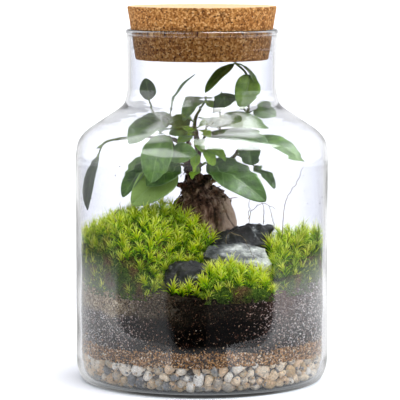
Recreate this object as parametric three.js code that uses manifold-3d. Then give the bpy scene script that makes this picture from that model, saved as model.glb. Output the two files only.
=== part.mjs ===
// A closed terrarium: a shouldered glass jar with a tapered cork stopper. In it lie gravel, grit and a
// hill of potting soil, which carry cushions of moss, pieces of slate and a small ginseng fig.
// Millimetres, +Z up. The origin is the centre of the jar's foot, and -Y is the front.
import * as THREE from "three";
import { mergeVertices } from "three/addons/utils/BufferGeometryUtils.js";
import { ConvexGeometry } from "three/addons/geometries/ConvexGeometry.js";
import Module from "manifold-3d";

const wasm = await Module();
wasm.setup();

// ---- Driving dimensions ----
const bodyRadius = 97.5; // outside of the jar's body
const bodyTop = 173; // here the straight side ends and the shoulder begins
const neckBase = 224; // here the shoulder has become the neck
const jarHeight = 270.5; // foot to lip, without the stopper
const wall = 3; // glass thickness
const floorThickness = 3.8; // glass under the gravel
const cornerWidth = 5.5; // half width of the ellipse that rounds the inside of the lower corner
const cornerHeight = 20; // height at which that rounding ends
const footRadius = 89.5; // outer edge of the flat ring that the jar stands on
const footInner = 80; // inner edge of that ring
const neckRadius = 57.5; // outside of the neck
const lipRadius = 58.4; // the rolled lip stands a little proud
const lipRoll = [2, 2.4]; // half width and half height of the roll
const corkBottom = 247;
const corkTop = 288;
const corkBottomRadius = 51;
const corkTopRadius = 57.5;
const corkEdge = 1.2; // rounding of the stopper's edges
const seatHeight = 268; // where the stopper wedges in the mouth
const clearance = 0.35; // between pieces that touch
const facetRoom = 0.1; // more of it round curved pieces, whose facets cut inside the curve
const roundSides = 40; // facets of the jar, the stopper and the layers
const fillRadius = 93.9; // gravel, grit, soil and moss stop here, just clear of the glass
const gravelTop = 24.5;
const gritTop = 34.5;
const soilLow = 75; // height of the soil between its hills
const trunkFoot = 96; // the root is cut flat here and stands in a hole in the soil
const bladeThickness = 0.8;
const stalkRadius = 0.75;
const needleLength = 6.5; // of a moss shoot
const needleRadius = 0.9;
const needleRoot = 2.5; // how much of it lies in the cushion

const twoPi = Math.PI * 2;

// ---- Materials ----
const finish = (color, roughness, more = {}) => new THREE.MeshStandardMaterial({ color, roughness, ...more });
const glass = finish(0xeef4f4, 0.03, { transparent: true, opacity: 0.25 });
const cork = finish(0xb98552, 0.85);
const pebble = finish(0xab9a82, 0.6);
const grit = finish(0x9c6b3a, 0.9);
const soil = finish(0x2a1d16, 0.95);
const moss = finish(0x8fb52a, 0.8);
const slate = finish(0x3a3d42, 0.55);
const paleSlate = finish(0x8d9094, 0.6);
const bark = finish(0x4d3a2c, 0.85);
const leaf = finish(0x4f7f3c, 0.4);

// ---- Tools ----
// A seeded random number generator, so that every run places the repeats alike.
function seeded(seed) {
  let a = seed;
  return () => {
    a = (a + 0x6d2b79f5) | 0;
    let t = Math.imul(a ^ (a >>> 15), 1 | a);
    t = (t + Math.imul(t ^ (t >>> 7), 61 | t)) ^ t;
    return ((t ^ (t >>> 14)) >>> 0) / 4294967296;
  };
}

const vec = (x, y, z) => new THREE.Vector3(x, y, z);
const toVec = (p) => new THREE.Vector3(...p);

// A closed geometry as a solid. One whose faces point inwards is turned round.
function solidOf(geometry) {
  const bare = new THREE.BufferGeometry();
  bare.setAttribute("position", geometry.getAttribute("position").clone());
  if (geometry.index) bare.setIndex(geometry.index.clone());
  const merged = mergeVertices(bare, 1e-3);
  const make = (index) =>
    new wasm.Manifold(
      new wasm.Mesh({
        numProp: 3,
        vertProperties: new Float32Array(merged.attributes.position.array),
        triVerts: new Uint32Array(index),
      }),
    );
  const index = Array.from(merged.index.array);
  const made = make(index);
  return made.volume() > 0 ? made : make(index.reverse());
}

const joined = (solids) => wasm.Manifold.union(solids);

// The largest body of a solid, without the scraps that a cut leaves.
function largest(solid) {
  const bodies = solid.decompose();
  return bodies.reduce((a, b) => (b.volume() > a.volume() ? b : a));
}

function geometryOf(solid) {
  const mesh = solid.getMesh();
  const step = mesh.numProp;
  const positions = new Float32Array(mesh.numVert * 3);
  for (let i = 0; i < mesh.numVert; i++) {
    positions.set(mesh.vertProperties.subarray(i * step, i * step + 3), i * 3);
  }
  const geometry = new THREE.BufferGeometry();
  geometry.setAttribute("position", new THREE.BufferAttribute(positions, 3));
  geometry.setIndex(new THREE.BufferAttribute(new Uint32Array(mesh.triVerts), 1));
  geometry.computeVertexNormals();
  return geometry;
}

const terrarium = new THREE.Group();
function addPiece(name, solid, material) {
  const mesh = new THREE.Mesh(geometryOf(solid), material);
  mesh.name = name;
  terrarium.add(mesh);
}

// A turned body about Z from its half profile, a list of [radius, height].
function turned(profile, sides = roundSides) {
  const points = profile.map(([r, z]) => new THREE.Vector2(r, z));
  return solidOf(new THREE.LatheGeometry(points, sides).rotateX(Math.PI / 2));
}

// Points of an elliptical arc about [cx, cz], for a turned profile.
function arc(cx, cz, rx, rz, fromDegrees, toDegrees, steps) {
  const points = [];
  for (let i = 0; i <= steps; i++) {
    const a = THREE.MathUtils.degToRad(fromDegrees + ((toDegrees - fromDegrees) * i) / steps);
    points.push([cx + rx * Math.cos(a), cz + rz * Math.sin(a)]);
  }
  return points;
}

// A solid of rings about a centre. reach(angle) is how far it goes. top and bottom give its heights at a
// point and at that point's share of the reach.
function ringed({ centre = [0, 0], reach, top, bottom, sides = roundSides, rings = 4, bottomRings = 1 }) {
  const positions = [];
  const index = [];
  const vertex = (x, y, z) => positions.push(x, y, z) / 3 - 1;
  const face = (count, height, up) => {
    const middle = vertex(centre[0], centre[1], height(centre[0], centre[1], 0));
    let inner = null;
    for (let k = 1; k <= count; k++) {
      const ring = [];
      for (let i = 0; i < sides; i++) {
        const angle = (i / sides) * twoPi;
        const r = (reach(angle) * k) / count;
        const x = centre[0] + r * Math.cos(angle);
        const y = centre[1] + r * Math.sin(angle);
        ring.push(vertex(x, y, height(x, y, k / count)));
      }
      for (let i = 0; i < sides; i++) {
        const j = (i + 1) % sides;
        const made = inner
          ? [[inner[i], ring[i], ring[j]], [inner[i], ring[j], inner[j]]]
          : [[middle, ring[i], ring[j]]];
        for (const t of made) index.push(...(up ? t : [t[0], t[2], t[1]]));
      }
      inner = ring;
    }
    return inner;
  };
  const upper = face(rings, top, true);
  const lower = face(bottomRings, bottom, false);
  for (let i = 0; i < sides; i++) {
    const j = (i + 1) % sides;
    index.push(lower[i], lower[j], upper[j], lower[i], upper[j], upper[i]);
  }
  const geometry = new THREE.BufferGeometry();
  geometry.setAttribute("position", new THREE.Float32BufferAttribute(positions, 3));
  geometry.setIndex(index);
  return solidOf(geometry);
}

// A tapering round stem through the given points, with its radius at each of them.
function stem(points, radii, sides, stepsEach) {
  const curve = new THREE.CatmullRomCurve3(points.map(toVec));
  const count = (points.length - 1) * stepsEach;
  const frames = curve.computeFrenetFrames(count, false);
  const positions = [];
  const index = [];
  for (let k = 0; k <= count; k++) {
    const at = curve.getPoint(k / count);
    const place = (k / count) * (points.length - 1);
    const i = Math.min(Math.floor(place), points.length - 2);
    const r = THREE.MathUtils.lerp(radii[i], radii[i + 1], place - i);
    for (let s = 0; s < sides; s++) {
      const a = (s / sides) * twoPi;
      const p = at.clone();
      p.addScaledVector(frames.normals[k], r * Math.cos(a));
      p.addScaledVector(frames.binormals[k], r * Math.sin(a));
      positions.push(p.x, p.y, p.z);
    }
  }
  const ends = [curve.getPoint(0), curve.getPoint(1)];
  for (const e of ends) positions.push(e.x, e.y, e.z);
  const first = (count + 1) * sides;
  for (let s = 0; s < sides; s++) {
    const t = (s + 1) % sides;
    for (let k = 0; k < count; k++) {
      const a = k * sides;
      const b = a + sides;
      index.push(a + s, a + t, b + t, a + s, b + t, b + s);
    }
    index.push(first, t, s, first + 1, count * sides + s, count * sides + t);
  }
  const geometry = new THREE.BufferGeometry();
  geometry.setAttribute("position", new THREE.Float32BufferAttribute(positions, 3));
  geometry.setIndex(index);
  return solidOf(geometry);
}

// A lumpy round mass: a ball scaled to its half sizes, with a gentle swell over its surface.
function lump({ centre, half, detail, swell, phase }, grow) {
  const geometry = mergeVertices(strip(new THREE.IcosahedronGeometry(1, detail)), 1e-4);
  const p = geometry.attributes.position;
  for (let i = 0; i < p.count; i++) {
    const [x, y, z] = [p.getX(i), p.getY(i), p.getZ(i)];
    const wave = Math.sin(3.1 * x + phase) * Math.cos(2.7 * y - phase) + 0.6 * Math.sin(4.3 * z + 2 * x + phase);
    const scale = 1 + swell * wave;
    p.setXYZ(
      i,
      centre[0] + x * (half[0] * scale + grow),
      centre[1] + y * (half[1] * scale + grow),
      centre[2] + z * (half[2] * scale + grow),
    );
  }
  return solidOf(geometry);
}

function strip(geometry) {
  geometry.deleteAttribute("normal");
  geometry.deleteAttribute("uv");
  return geometry;
}

// ---- Jar and stopper ----
const corkRadiusAt = (z) =>
  corkBottomRadius + ((z - corkBottom) / (corkTop - corkBottom)) * (corkTopRadius - corkBottomRadius);
const mouthRadius = corkRadiusAt(seatHeight) + clearance + facetRoom;

// The shoulder's outline from the neck down, then the jar's whole outline: outside from the foot up to the
// lip, and inside down to the floor.
const shoulder = [
  [neckRadius, neckBase],
  [neckRadius + 1.2, 217],
  [neckRadius + 5, 210.5],
  [neckRadius + 22, 199],
  [bodyRadius - 7.5, 191.5],
  [bodyRadius - 2, 184],
  [bodyRadius, bodyTop],
];
const outside = [
  [0, 1.5],
  [footInner - 4, 1.5],
  [footInner, 0],
  ...arc(footRadius, 18, bodyRadius - footRadius, 18, -90, 0, 3),
  ...shoulder.toReversed(),
  [neckRadius, jarHeight - 7],
  ...arc(lipRadius - lipRoll[0], jarHeight - lipRoll[1], ...lipRoll, -45, 90, 3),
];
const inside = [
  [mouthRadius + 0.7, jarHeight - 0.6],
  [mouthRadius, seatHeight],
  [mouthRadius, neckBase],
  ...shoulder.slice(1, -1).map(([r, z]) => [r - wall * 0.95, z - wall * 0.55]),
  [bodyRadius - wall, bodyTop - 2],
  ...arc(bodyRadius - wall - cornerWidth, cornerHeight, cornerWidth, cornerHeight - floorThickness, 0, -90, 3),
  [0, floorThickness],
];
addPiece("glass_jar", turned([...outside, ...inside]), glass);

addPiece(
  "cork_stopper",
  turned([
    [0, corkBottom],
    [corkBottomRadius - corkEdge, corkBottom],
    [corkRadiusAt(corkBottom + corkEdge), corkBottom + corkEdge],
    [corkRadiusAt(corkTop - corkEdge), corkTop - corkEdge],
    [corkTopRadius - corkEdge, corkTop],
    [0, corkTop],
  ]),
  cork,
);

// ---- Gravel and grit ----
// The layers' tops are gently uneven.
const uneven = (x, y, seed) => Math.sin(x / 17 + seed) * Math.cos(y / 21 - seed) + 0.5 * Math.sin((x + y) / 11 + seed);
const gravelTopAt = (x, y) => gravelTop + 0.8 * uneven(x, y, 1);
const gritTopAt = (x, y) => gritTop + 1.1 * uneven(x, y, 2.6);

const pebbleSink = 3.5; // the core that holds the pebbles lies this far inside the bed's outline
const bedRoom = 0.6; // between that outline and the glass
const bedOutline = arc(
  bodyRadius - wall - cornerWidth,
  cornerHeight,
  cornerWidth - bedRoom,
  cornerHeight - floorThickness - bedRoom,
  -90,
  0,
  3,
);
const gravelCore = turned([
  [0, floorThickness + bedRoom],
  ...bedOutline.map(([r, z]) => [r - pebbleSink, Math.min(z, gravelTop - pebbleSink)]),
  [0, gravelTop - pebbleSink],
]);
const pebbleRoll = seeded(7);

// One pebble: the hull of eight corners that lie unevenly round its centre.
function pebbleStone(halfSizes) {
  const corners = [];
  for (const x of [-1, 1]) {
    for (const y of [-1, 1]) {
      for (const z of [-1, 1]) {
        const reach = 0.6 + 0.22 * pebbleRoll();
        corners.push(vec(x * halfSizes[0], y * halfSizes[1], z * halfSizes[2]).multiplyScalar(reach));
      }
    }
  }
  return strip(new ConvexGeometry(corners));
}
const pebbles = [gravelCore];
const pebbleRows = [
  { radius: 85.2, height: 10.4, count: 29 },
  { radius: 87.8, height: 18, count: 31 },
];
for (const row of pebbleRows) {
  for (let i = 0; i < row.count; i++) {
    const angle = ((i + 0.4 * pebbleRoll()) / row.count) * twoPi;
    const stone = pebbleStone([6.4 + pebbleRoll(), 5.6, 4.2 + 0.5 * pebbleRoll()]);
    stone.rotateX(0.5 * pebbleRoll() - 0.25).rotateY(0.6 * pebbleRoll() - 0.3);
    stone.rotateZ(angle + Math.PI / 2 + 0.6 * pebbleRoll() - 0.3);
    stone.translate(row.radius * Math.cos(angle), row.radius * Math.sin(angle), row.height + 0.5 * pebbleRoll());
    pebbles.push(solidOf(stone));
  }
}
addPiece("gravel_bed", largest(joined(pebbles)), pebble);

addPiece(
  "grit_layer",
  ringed({
    reach: () => fillRadius,
    top: gritTopAt,
    bottom: (x, y) => gravelTopAt(x, y) + clearance,
    rings: 2,
    bottomRings: 2,
  }),
  grit,
);

// ---- Fig: the swollen root, its trunks and the stubs of old branches ----
const rootLumps = [
  { centre: [3, 2, 119], half: [24, 21, 31], detail: 3, swell: 0.05, phase: 0.4 },
  { centre: [-14, 2, 118], half: [14, 15, 24], detail: 3, swell: 0.06, phase: 2.1 },
  { centre: [12, -3, 112], half: [16, 16, 20], detail: 2, swell: 0.05, phase: 4 },
  { centre: [-5, 1, 145], half: [12, 11, 10], detail: 2, swell: 0.08, phase: 1 },
];
const trunks = [
  { points: [[-4, 0, 146], [-9, 0, 160], [-11.5, 0, 170], [-10, 0, 182]], radii: [6, 3.6, 3, 2.4] },
  { points: [[-2, 2, 146], [-3.5, 4, 160], [-3, 4, 173], [-4.6, 4, 188]], radii: [6, 3.4, 2.8, 2.2] },
  { points: [[-2, 0, 149], [5, 3, 156], [11, 6, 160.5]], radii: [4.5, 2.8, 2.1] },
  { points: [[0, -2, 149], [7, -5, 153], [14, -8, 157.5]], radii: [4, 2.4, 1.9] },
  { points: [[-6, -1, 147], [-14, -5, 150], [-19, -8, 151.5]], radii: [4, 2.6, 2] },
  { points: [[-4, 3, 147], [-10, 10, 151], [-12, 16, 155]], radii: [4, 2.6, 2] },
];
function figWood(grow) {
  const lumps = rootLumps.map((l) => lump(l, grow));
  const stems = trunks.map((t) => stem(t.points, t.radii.map((r) => r + grow), 5, 2));
  return joined([...lumps, ...stems]);
}
const above = (z) => turned([[0, z], [80, z], [80, z + 200], [0, z + 200]], 12);
const trunkSpace = figWood(clearance + facetRoom).intersect(above(trunkFoot - clearance));
addPiece("ficus_trunk", figWood(0).intersect(above(trunkFoot)), bark);

// ---- Slate: angular pieces, each one to three hulls of a few corner points ----
const slates = {
  slate_ridge: {
    material: slate,
    hulls: [
      [
        [3, -21, 114], [13, -18, 116.8], [21, -16, 118.5], [28, -14, 120], [4, -10, 112], [28, -6, 118],
        [3, -28, 107.5], [14, -29, 108], [28, -28, 108.5], [0, -24, 96], [28, -26, 95], [4, -8, 96], [28, -4, 96],
      ],
      [
        [24, -16, 119], [31, -14, 121.8], [36.5, -14, 123.2], [41, -13, 121.2], [53, -4, 118], [38, -4, 119],
        [24, -28, 108.5], [37, -29, 107.5], [24, -26, 95], [44, -24, 94], [42, 0, 96], [26, -2, 96],
      ],
      [
        [39, -14, 121], [50.5, -12, 122.4], [54, -11, 120.7], [53, -4, 118.5], [40, -5, 117.5],
        [36, -28, 107.5], [47, -28, 107.5], [54, -24, 103], [38, -25, 95], [52, -24, 94], [50, 0, 96], [40, 0, 97],
      ],
    ],
  },
  slate_slab: {
    material: paleSlate,
    hulls: [
      [
        [4.5, -30, 107.5], [10, -29, 108.8], [36, -29, 108.8], [48, -33, 105.5], [53, -48, 95.5], [48, -54, 92.5],
        [29, -54, 97], [10, -54, 99.5], [0, -47, 101.5], [2, -46, 93], [12, -55, 92], [46, -54, 84], [52, -46, 87],
        [40, -26, 98], [6, -26, 98],
      ],
    ],
  },
  slate_front: {
    material: slate,
    hulls: [
      [
        [-24, -60, 97], [-20, -62, 99.4], [-9, -61, 100], [-1.5, -62, 98.6], [5, -61, 97], [-28, -64, 93],
        [-29, -72, 86], [-27, -77, 83], [-24, -79, 81], [-12, -79, 82], [-2, -76, 84], [6, -70, 86],
        [-14, -74, 94], [-4, -72, 94], [-25, -74, 74], [0, -72, 74], [6, -58, 76], [-22, -56, 76],
      ],
    ],
  },
};

// A piece of slate, or with grow the room it needs with that much air all round.
function slateSolid({ hulls }, grow = 0) {
  const blocks = hulls.map((corners) => {
    const box = new THREE.Box3().setFromPoints(corners.map(toVec));
    const middle = box.getCenter(vec(0, 0, 0));
    const size = box.getSize(vec(0, 0, 0));
    const stretch = vec(1, 1, 1).addScaledVector(vec(1 / size.x, 1 / size.y, 1 / size.z), 2 * grow);
    return solidOf(new ConvexGeometry(corners.map((c) => toVec(c).sub(middle).multiply(stretch).add(middle))));
  });
  return joined(blocks);
}
const slateSpaces = [];
let placedBefore = trunkSpace;
for (const [name, stone] of Object.entries(slates)) {
  addPiece(name, largest(slateSolid(stone).subtract(placedBefore)), stone.material);
  const space = slateSolid(stone, clearance + 2 * facetRoom);
  slateSpaces.push(space);
  placedBefore = placedBefore.add(space);
}
const firmSpace = joined([trunkSpace, ...slateSpaces]); // what moss and soil make room for

// ---- Soil: a low bed with a hill under the fig and another at the right ----
const hill = (x, y, cx, cy, sx, sy) => Math.exp(-(((x - cx) / sx) ** 2) - ((y - cy) / sy) ** 2);
const soilTopAt = (x, y) =>
  soilLow +
  30 * hill(x, y, -24, 2, 48, 44) +
  14 * hill(x, y, 14, 6, 34, 36) +
  14 * hill(x, y, 26, -28, 32, 26) +
  20 * hill(x, y, 66, -2, 24, 44) +
  0.8 * uneven(x, y, 0.4);
const soilBody = (lift) =>
  ringed({
    reach: () => fillRadius + lift,
    top: (x, y) => soilTopAt(x, y) + lift,
    bottom: (x, y) => gritTopAt(x, y) + clearance,
    rings: 6,
    bottomRings: 2,
  });
const soilSpace = soilBody(clearance);
addPiece("soil_bed", largest(soilBody(0).subtract(firmSpace)), soil);

// ---- Moss: low cushions whose shoots stand out all over as slim three-sided needles ----
const cushions = {
  moss_mound_left: {
    peak: [-28, -17, 130.5],
    reach: [50, 40, 44, 50, 60, 80, 100, 106, 107, 104, 96, 90, 52, 41, 44, 56],
    edge: 74,
    power: 1,
    shoots: 104,
    seed: 31,
  },
  moss_mound_right: {
    peak: [69, -12, 110],
    reach: [60, 64, 62, 36, 27, 38, 62, 70],
    edge: 75,
    power: 0.7,
    shoots: 52,
    seed: 32,
  },
  moss_mound_front: {
    peak: [19, -66, 95.5],
    reach: [36, 26, 14, 22, 26, 34, 40, 40],
    edge: 73,
    power: 0.65,
    shoots: 42,
    seed: 33,
  },
  moss_mound_back: {
    peak: [8, 56, 99],
    reach: [42, 66, 60, 66, 42, 24, 22, 26],
    edge: 74,
    power: 0.8,
    shoots: 36,
    seed: 34,
  },
};
const fillSpace = turned([[0, 60], [fillRadius, 60], [fillRadius, 200], [0, 200]]);

// The reach at any angle, smoothly between the stated ones, which are evenly spread from +X round.
function smoothReach(list) {
  const count = list.length;
  return (angle) => {
    const place = ((angle / twoPi) * count + count) % count;
    const i = Math.floor(place);
    const t = place - i;
    const s = t * t * (3 - 2 * t);
    return list[i % count] * (1 - s) + list[(i + 1) % count] * s;
  };
}

function cushionHeight({ peak, edge, power }, share) {
  return edge + (peak[2] - edge) * Math.max(0, 1 - share * share) ** power;
}

function cushion(form) {
  const reach = smoothReach(form.reach);
  const wave = (x, y) => 1.3 * uneven(2.2 * x, 2.2 * y, form.seed);
  const top = (x, y, share) => cushionHeight(form, share) + (1 - share) * wave(x, y);
  const body = ringed({
    centre: form.peak,
    reach,
    top,
    bottom: () => form.edge - 6,
    sides: 24,
    rings: 4,
  });
  const roll = seeded(form.seed);
  const needles = [];
  while (needles.length < form.shoots) {
    const angle = roll() * twoPi;
    const share = Math.sqrt(roll()) * 0.97;
    const r = reach(angle) * share;
    const [x, y] = [form.peak[0] + r * Math.cos(angle), form.peak[1] + r * Math.sin(angle)];
    const lean = vec(Math.cos(angle) * share * 0.8, Math.sin(angle) * share * 0.8, 1);
    lean.add(vec(roll() - 0.5, roll() - 0.5, 0.4 * roll()).multiplyScalar(0.7)).normalize();
    const z = top(x, y, share);
    const tipRadius = Math.hypot(x + lean.x * needleLength, y + lean.y * needleLength);
    if (Math.hypot(x, y) > fillRadius - 1 || tipRadius > fillRadius - 1) continue;
    const needle = strip(new THREE.ConeGeometry(needleRadius, needleLength + needleRoot, 3));
    needle.translate(0, (needleLength - needleRoot) / 2, 0);
    needle.applyQuaternion(new THREE.Quaternion().setFromUnitVectors(vec(0, 1, 0), lean));
    needle.translate(x, y, z);
    needles.push(solidOf(needle));
  }
  return joined([body, ...needles]);
}
let mossSpace = null; // cushions laid before, which the next one makes room for
for (const [name, form] of Object.entries(cushions)) {
  let made = cushion(form).intersect(fillSpace).subtract(soilSpace).subtract(firmSpace);
  if (mossSpace) made = made.subtract(mossSpace);
  addPiece(name, largest(made), moss);
  const room = ringed({
    centre: form.peak,
    reach: (a) => smoothReach(form.reach)(a) + 0.6,
    top: (x, y, share) => cushionHeight(form, share) + needleLength + 3,
    bottom: () => form.edge - 7,
    sides: 24,
    rings: 3,
  });
  mossSpace = mossSpace ? mossSpace.add(room) : room;
}

// ---- Leafy shoots ----
// A blade from base to tip, width across, face the way its upper side looks, arch its rise in the middle,
// and fold how far its two halves are raised along the midrib.
const usualArch = 0.1;
const bladeShape = (t) => Math.sin(Math.PI * t ** 0.82) ** 0.75; // an ellipse with a drawn-out tip
function blade({ base, tip, width, face, arch = usualArch, fold = 0.18 }) {
  const [from, to] = [toVec(base), toVec(tip)];
  const along = to.clone().sub(from);
  const length = along.length();
  along.normalize();
  const up = toVec(face);
  up.addScaledVector(along, -up.dot(along)).normalize();
  const across = new THREE.Vector3().crossVectors(along, up);
  const stations = length > 26 ? 6 : 4 + Math.round(length / 26);
  const positions = [];
  for (const side of [0.5, -0.5]) {
    for (let k = 0; k < stations; k++) {
      const t = k / (stations - 1);
      const half = Math.max(0.45, (width / 2) * bladeShape(t));
      for (const s of [-1, 0, 1]) {
        const p = from.clone().addScaledVector(along, length * t);
        p.addScaledVector(across, s * half);
        p.addScaledVector(up, length * arch * Math.sin(Math.PI * t) + Math.abs(s) * half * fold);
        p.addScaledVector(up, side * bladeThickness);
        positions.push(p.x, p.y, p.z);
      }
    }
  }
  const under = stations * 3;
  const index = [];
  const quad = (a, b, c, d) => index.push(a, b, c, a, c, d);
  for (let k = 0; k < stations - 1; k++) {
    for (const s of [0, 1]) {
      const a = k * 3 + s;
      index.push(a, a + 1, a + 4, a, a + 4, a + 3);
      index.push(under + a, under + a + 4, under + a + 1, under + a, under + a + 3, under + a + 4);
    }
    quad(k * 3, k * 3 + 3, under + k * 3 + 3, under + k * 3);
    quad(k * 3 + 2, under + k * 3 + 2, under + k * 3 + 5, k * 3 + 5);
  }
  const last = (stations - 1) * 3;
  for (const s of [0, 1]) {
    quad(s, under + s, under + s + 1, s + 1);
    quad(last + s, last + s + 1, under + last + s + 1, under + last + s);
  }
  const geometry = new THREE.BufferGeometry();
  geometry.setAttribute("position", new THREE.Float32BufferAttribute(positions, 3));
  geometry.setIndex(index);
  return solidOf(geometry);
}

// Each shoot is a twig and its leaves. A leaf's stalk runs from the twig at "from" into the blade's base.
const shoots = [
  {
    // long bare twig to the left, with one leaf that hangs by the glass
    twig: [[-11, -1, 174], [-21, -9, 184], [-40, -16, 186.5], [-57, -22, 186.5], [-70, -24, 185], [-77, -24, 181]],
    radii: [1.5, 1.2, 1, 0.9, 0.8, 0.8],
    leaves: [
      { from: [-75.5, -24, 182], base: [-78, -23.6, 176], tip: [-87.5, -15, 132], width: 11.5, face: [-0.6, -0.8, 0] },
    ],
  },
  {
    // upper left, up towards the neck
    twig: [[-10, 1, 181], [-16, 3, 191], [-24, 5, 199], [-37, 6, 206]],
    radii: [1.6, 1.3, 1.1, 0.8],
    leaves: [
      { from: [-24, 5, 199], base: [-27, -2, 200], tip: [-55, -28, 183], width: 25, face: [-0.3, -0.7, 0.6] },
      { from: [-24, 5, 199], base: [-24.5, 9, 206], tip: [-5.5, 11, 235], width: 13, face: [-0.82, 0.1, 0.57], arch: 0.1 },
      { from: [-37, 6, 206], base: [-41, 6, 214], tip: [-43.5, 7, 232], width: 13, face: [-0.1, -1, 0.1], arch: 0.04 },
      { from: [-16, 3, 191], base: [-22, 9, 197], tip: [-47, 22, 201], width: 17, face: [-0.1, -0.5, 0.9] },
      { from: [-16, 3, 191], base: [-17, 14, 190], tip: [-33, 46, 184], width: 22, face: [-0.1, 0.3, 0.95] },
    ],
  },
  {
    // lower left, the large leaves before the trunk
    twig: [[-11.5, -1, 170], [-16, -9, 175], [-22, -15, 181], [-24, -17, 186]],
    radii: [1.6, 1.3, 1.1, 0.9],
    leaves: [
      { from: [-24, -17, 186], base: [-29, -23, 189], tip: [-38, -43, 156], width: 24, face: [-0.1, -0.9, 0.5] },
      { from: [-16, -9, 175], base: [-24, -19, 174], tip: [-4, -33, 177], width: 15, face: [0.1, -0.95, 0.3] },
      { from: [-16, -9, 175], base: [-17, -12, 166], tip: [-42, -27, 152], width: 20, face: [0.05, -0.75, 0.65] },
    ],
  },
  {
    // low on the left, leaves that droop over the moss
    twig: [[-11, 0, 163], [-18, -4, 167], [-30, -6, 170], [-39, -8, 170]],
    radii: [1.6, 1.3, 1, 0.8],
    leaves: [
      { from: [-18, -4, 167], base: [-20, -9, 160], tip: [-53, -30, 138], width: 26, face: [0.1, -0.85, 0.5] },
      { from: [-39, -8, 170], base: [-42, -11, 167], tip: [-60, -22, 143], width: 15, face: [-0.5, -0.8, 0.35], fold: 0.4 },
      { from: [-39, -8, 170], base: [-42, -5, 171], tip: [-60, 4, 152], width: 14, face: [-0.6, -0.5, 0.6] },
      { from: [-18, -4, 167], base: [-22, 4, 168], tip: [-44, 32, 158], width: 22, face: [-0.2, 0.1, 0.95] },
    ],
  },
  {
    // crown between the trunks, with young leaves
    twig: [[-4.6, 4, 187], [-5.5, 3, 197], [-3, 2, 206], [2, 1, 213]],
    radii: [1.7, 1.4, 1.1, 0.8],
    leaves: [
      { from: [2, 1, 213], base: [3, -1, 213], tip: [-14, -13, 199.5], width: 16, face: [-0.45, -0.6, 0.7], arch: 0.32 },
      { from: [2, 1, 213], base: [3.5, -2, 214], tip: [7.5, -13, 210], width: 7, face: [0.1, -0.6, 0.8] },
      { from: [-5.5, 3, 197], base: [-8, -4, 196], tip: [-24, -19, 194], width: 11, face: [0, -0.4, 0.9] },
      { from: [-5, 3.5, 191], base: [-1, -5, 191], tip: [6, -17, 186], width: 9, face: [0.3, -0.7, 0.7] },
      { from: [-5.5, 3, 197], base: [-6, -4, 194], tip: [-10, -17, 188], width: 9, face: [-0.2, -0.8, 0.6] },
    ],
  },
  {
    // thin upright stem that ends in a bud
    twig: [[9, 5, 159.5], [14, 12, 170], [14, 14, 190], [14, 12, 206], [15, 8, 219]],
    radii: [1.6, 1.2, 1, 0.9, 0.8],
    leaves: [
      { from: [14, 13, 180], base: [17, 18, 184], tip: [38, 44, 188], width: 22, face: [0.1, 0.3, 0.95] },
      { from: [14, 14, 190], base: [12, 20, 194], tip: [2, 52, 196], width: 21, face: [-0.1, 0.1, 1] },
    ],
  },
  {
    // tall stem at the right, up to the leaves under the stopper
    twig: [
      [3, 3, 155], [15, 14, 163], [27, 18, 172], [32, 17, 188], [35, 12, 205], [38.5, 10, 222], [34, 9, 236], [27, 8, 243],
    ],
    radii: [1.9, 1.6, 1.4, 1.2, 1.1, 1, 0.9, 0.8],
    leaves: [
      { from: [27, 8, 243], base: [24.5, 5, 243.5], tip: [2.5, -9, 222], width: 13, face: [-0.5, -0.55, 0.65], arch: 0.06 },
      { from: [27, 8, 243], base: [31, 6, 242.5], tip: [42, -1, 226], width: 10, face: [0.8, -0.35, 0.45], arch: 0.08 },
      { from: [38, 10, 223], base: [37, 1, 235], tip: [29, -10, 210], width: 20, face: [0.15, -0.95, 0.15], fold: 0.35 },
      { from: [35, 12, 205], base: [41, 6, 209], tip: [56.5, -4, 203], width: 17, face: [0.2, -0.85, 0.45] },
      { from: [35, 12, 206], base: [27, 3, 217], tip: [8.5, -7, 206.5], width: 14, face: [-0.2, -0.8, 0.6], arch: 0.2 },
      { from: [32, 17, 188], base: [39, 4, 184.5], tip: [78, -17, 169], width: 16, face: [0.1, -0.5, 0.85] },
      { from: [31, 17, 184], base: [34, 8, 184], tip: [38, -6, 165], width: 18, face: [0.1, -0.95, 0.3] },
      { from: [27, 18, 172], base: [40, 2, 164], tip: [56, -12, 148], width: 9, face: [0.85, -0.3, 0.45] },
    ],
  },
  {
    // broad leaves that spread to the right of the crown
    twig: [[-3.2, 3.5, 176], [1.5, -1, 184], [3, -3, 190], [3.5, -2, 196]],
    radii: [1.5, 1.2, 1, 0.8],
    leaves: [
      { from: [3.5, -2, 196], base: [6, -3, 197], tip: [51, -14, 193], width: 20, face: [0, -0.35, 0.95], arch: 0.14 },
      { from: [3, -3, 190], base: [6, -7, 187], tip: [50, -27, 183], width: 21, face: [0, -0.55, 0.85], arch: 0.1 },
      { from: [1.5, -1, 184], base: [4, -7, 179], tip: [18, -19, 171], width: 9, face: [0.2, -0.75, 0.65] },
    ],
  },
  {
    // the largest leaf, low at the right before the root
    twig: [[-3.5, 3, 163], [0, -6, 166], [2, -11, 168.5]],
    radii: [1.5, 1.3, 1.1],
    leaves: [
      { from: [2, -11, 168.5], base: [4, -13, 168.5], tip: [48.5, -33, 141], width: 24, face: [0.35, -0.75, 0.6] },
      { from: [0, -6, 166], base: [-3, -11, 164.5], tip: [-8, -21, 157], width: 8, face: [-0.3, -0.8, 0.5] },
    ],
  },
];

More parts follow.
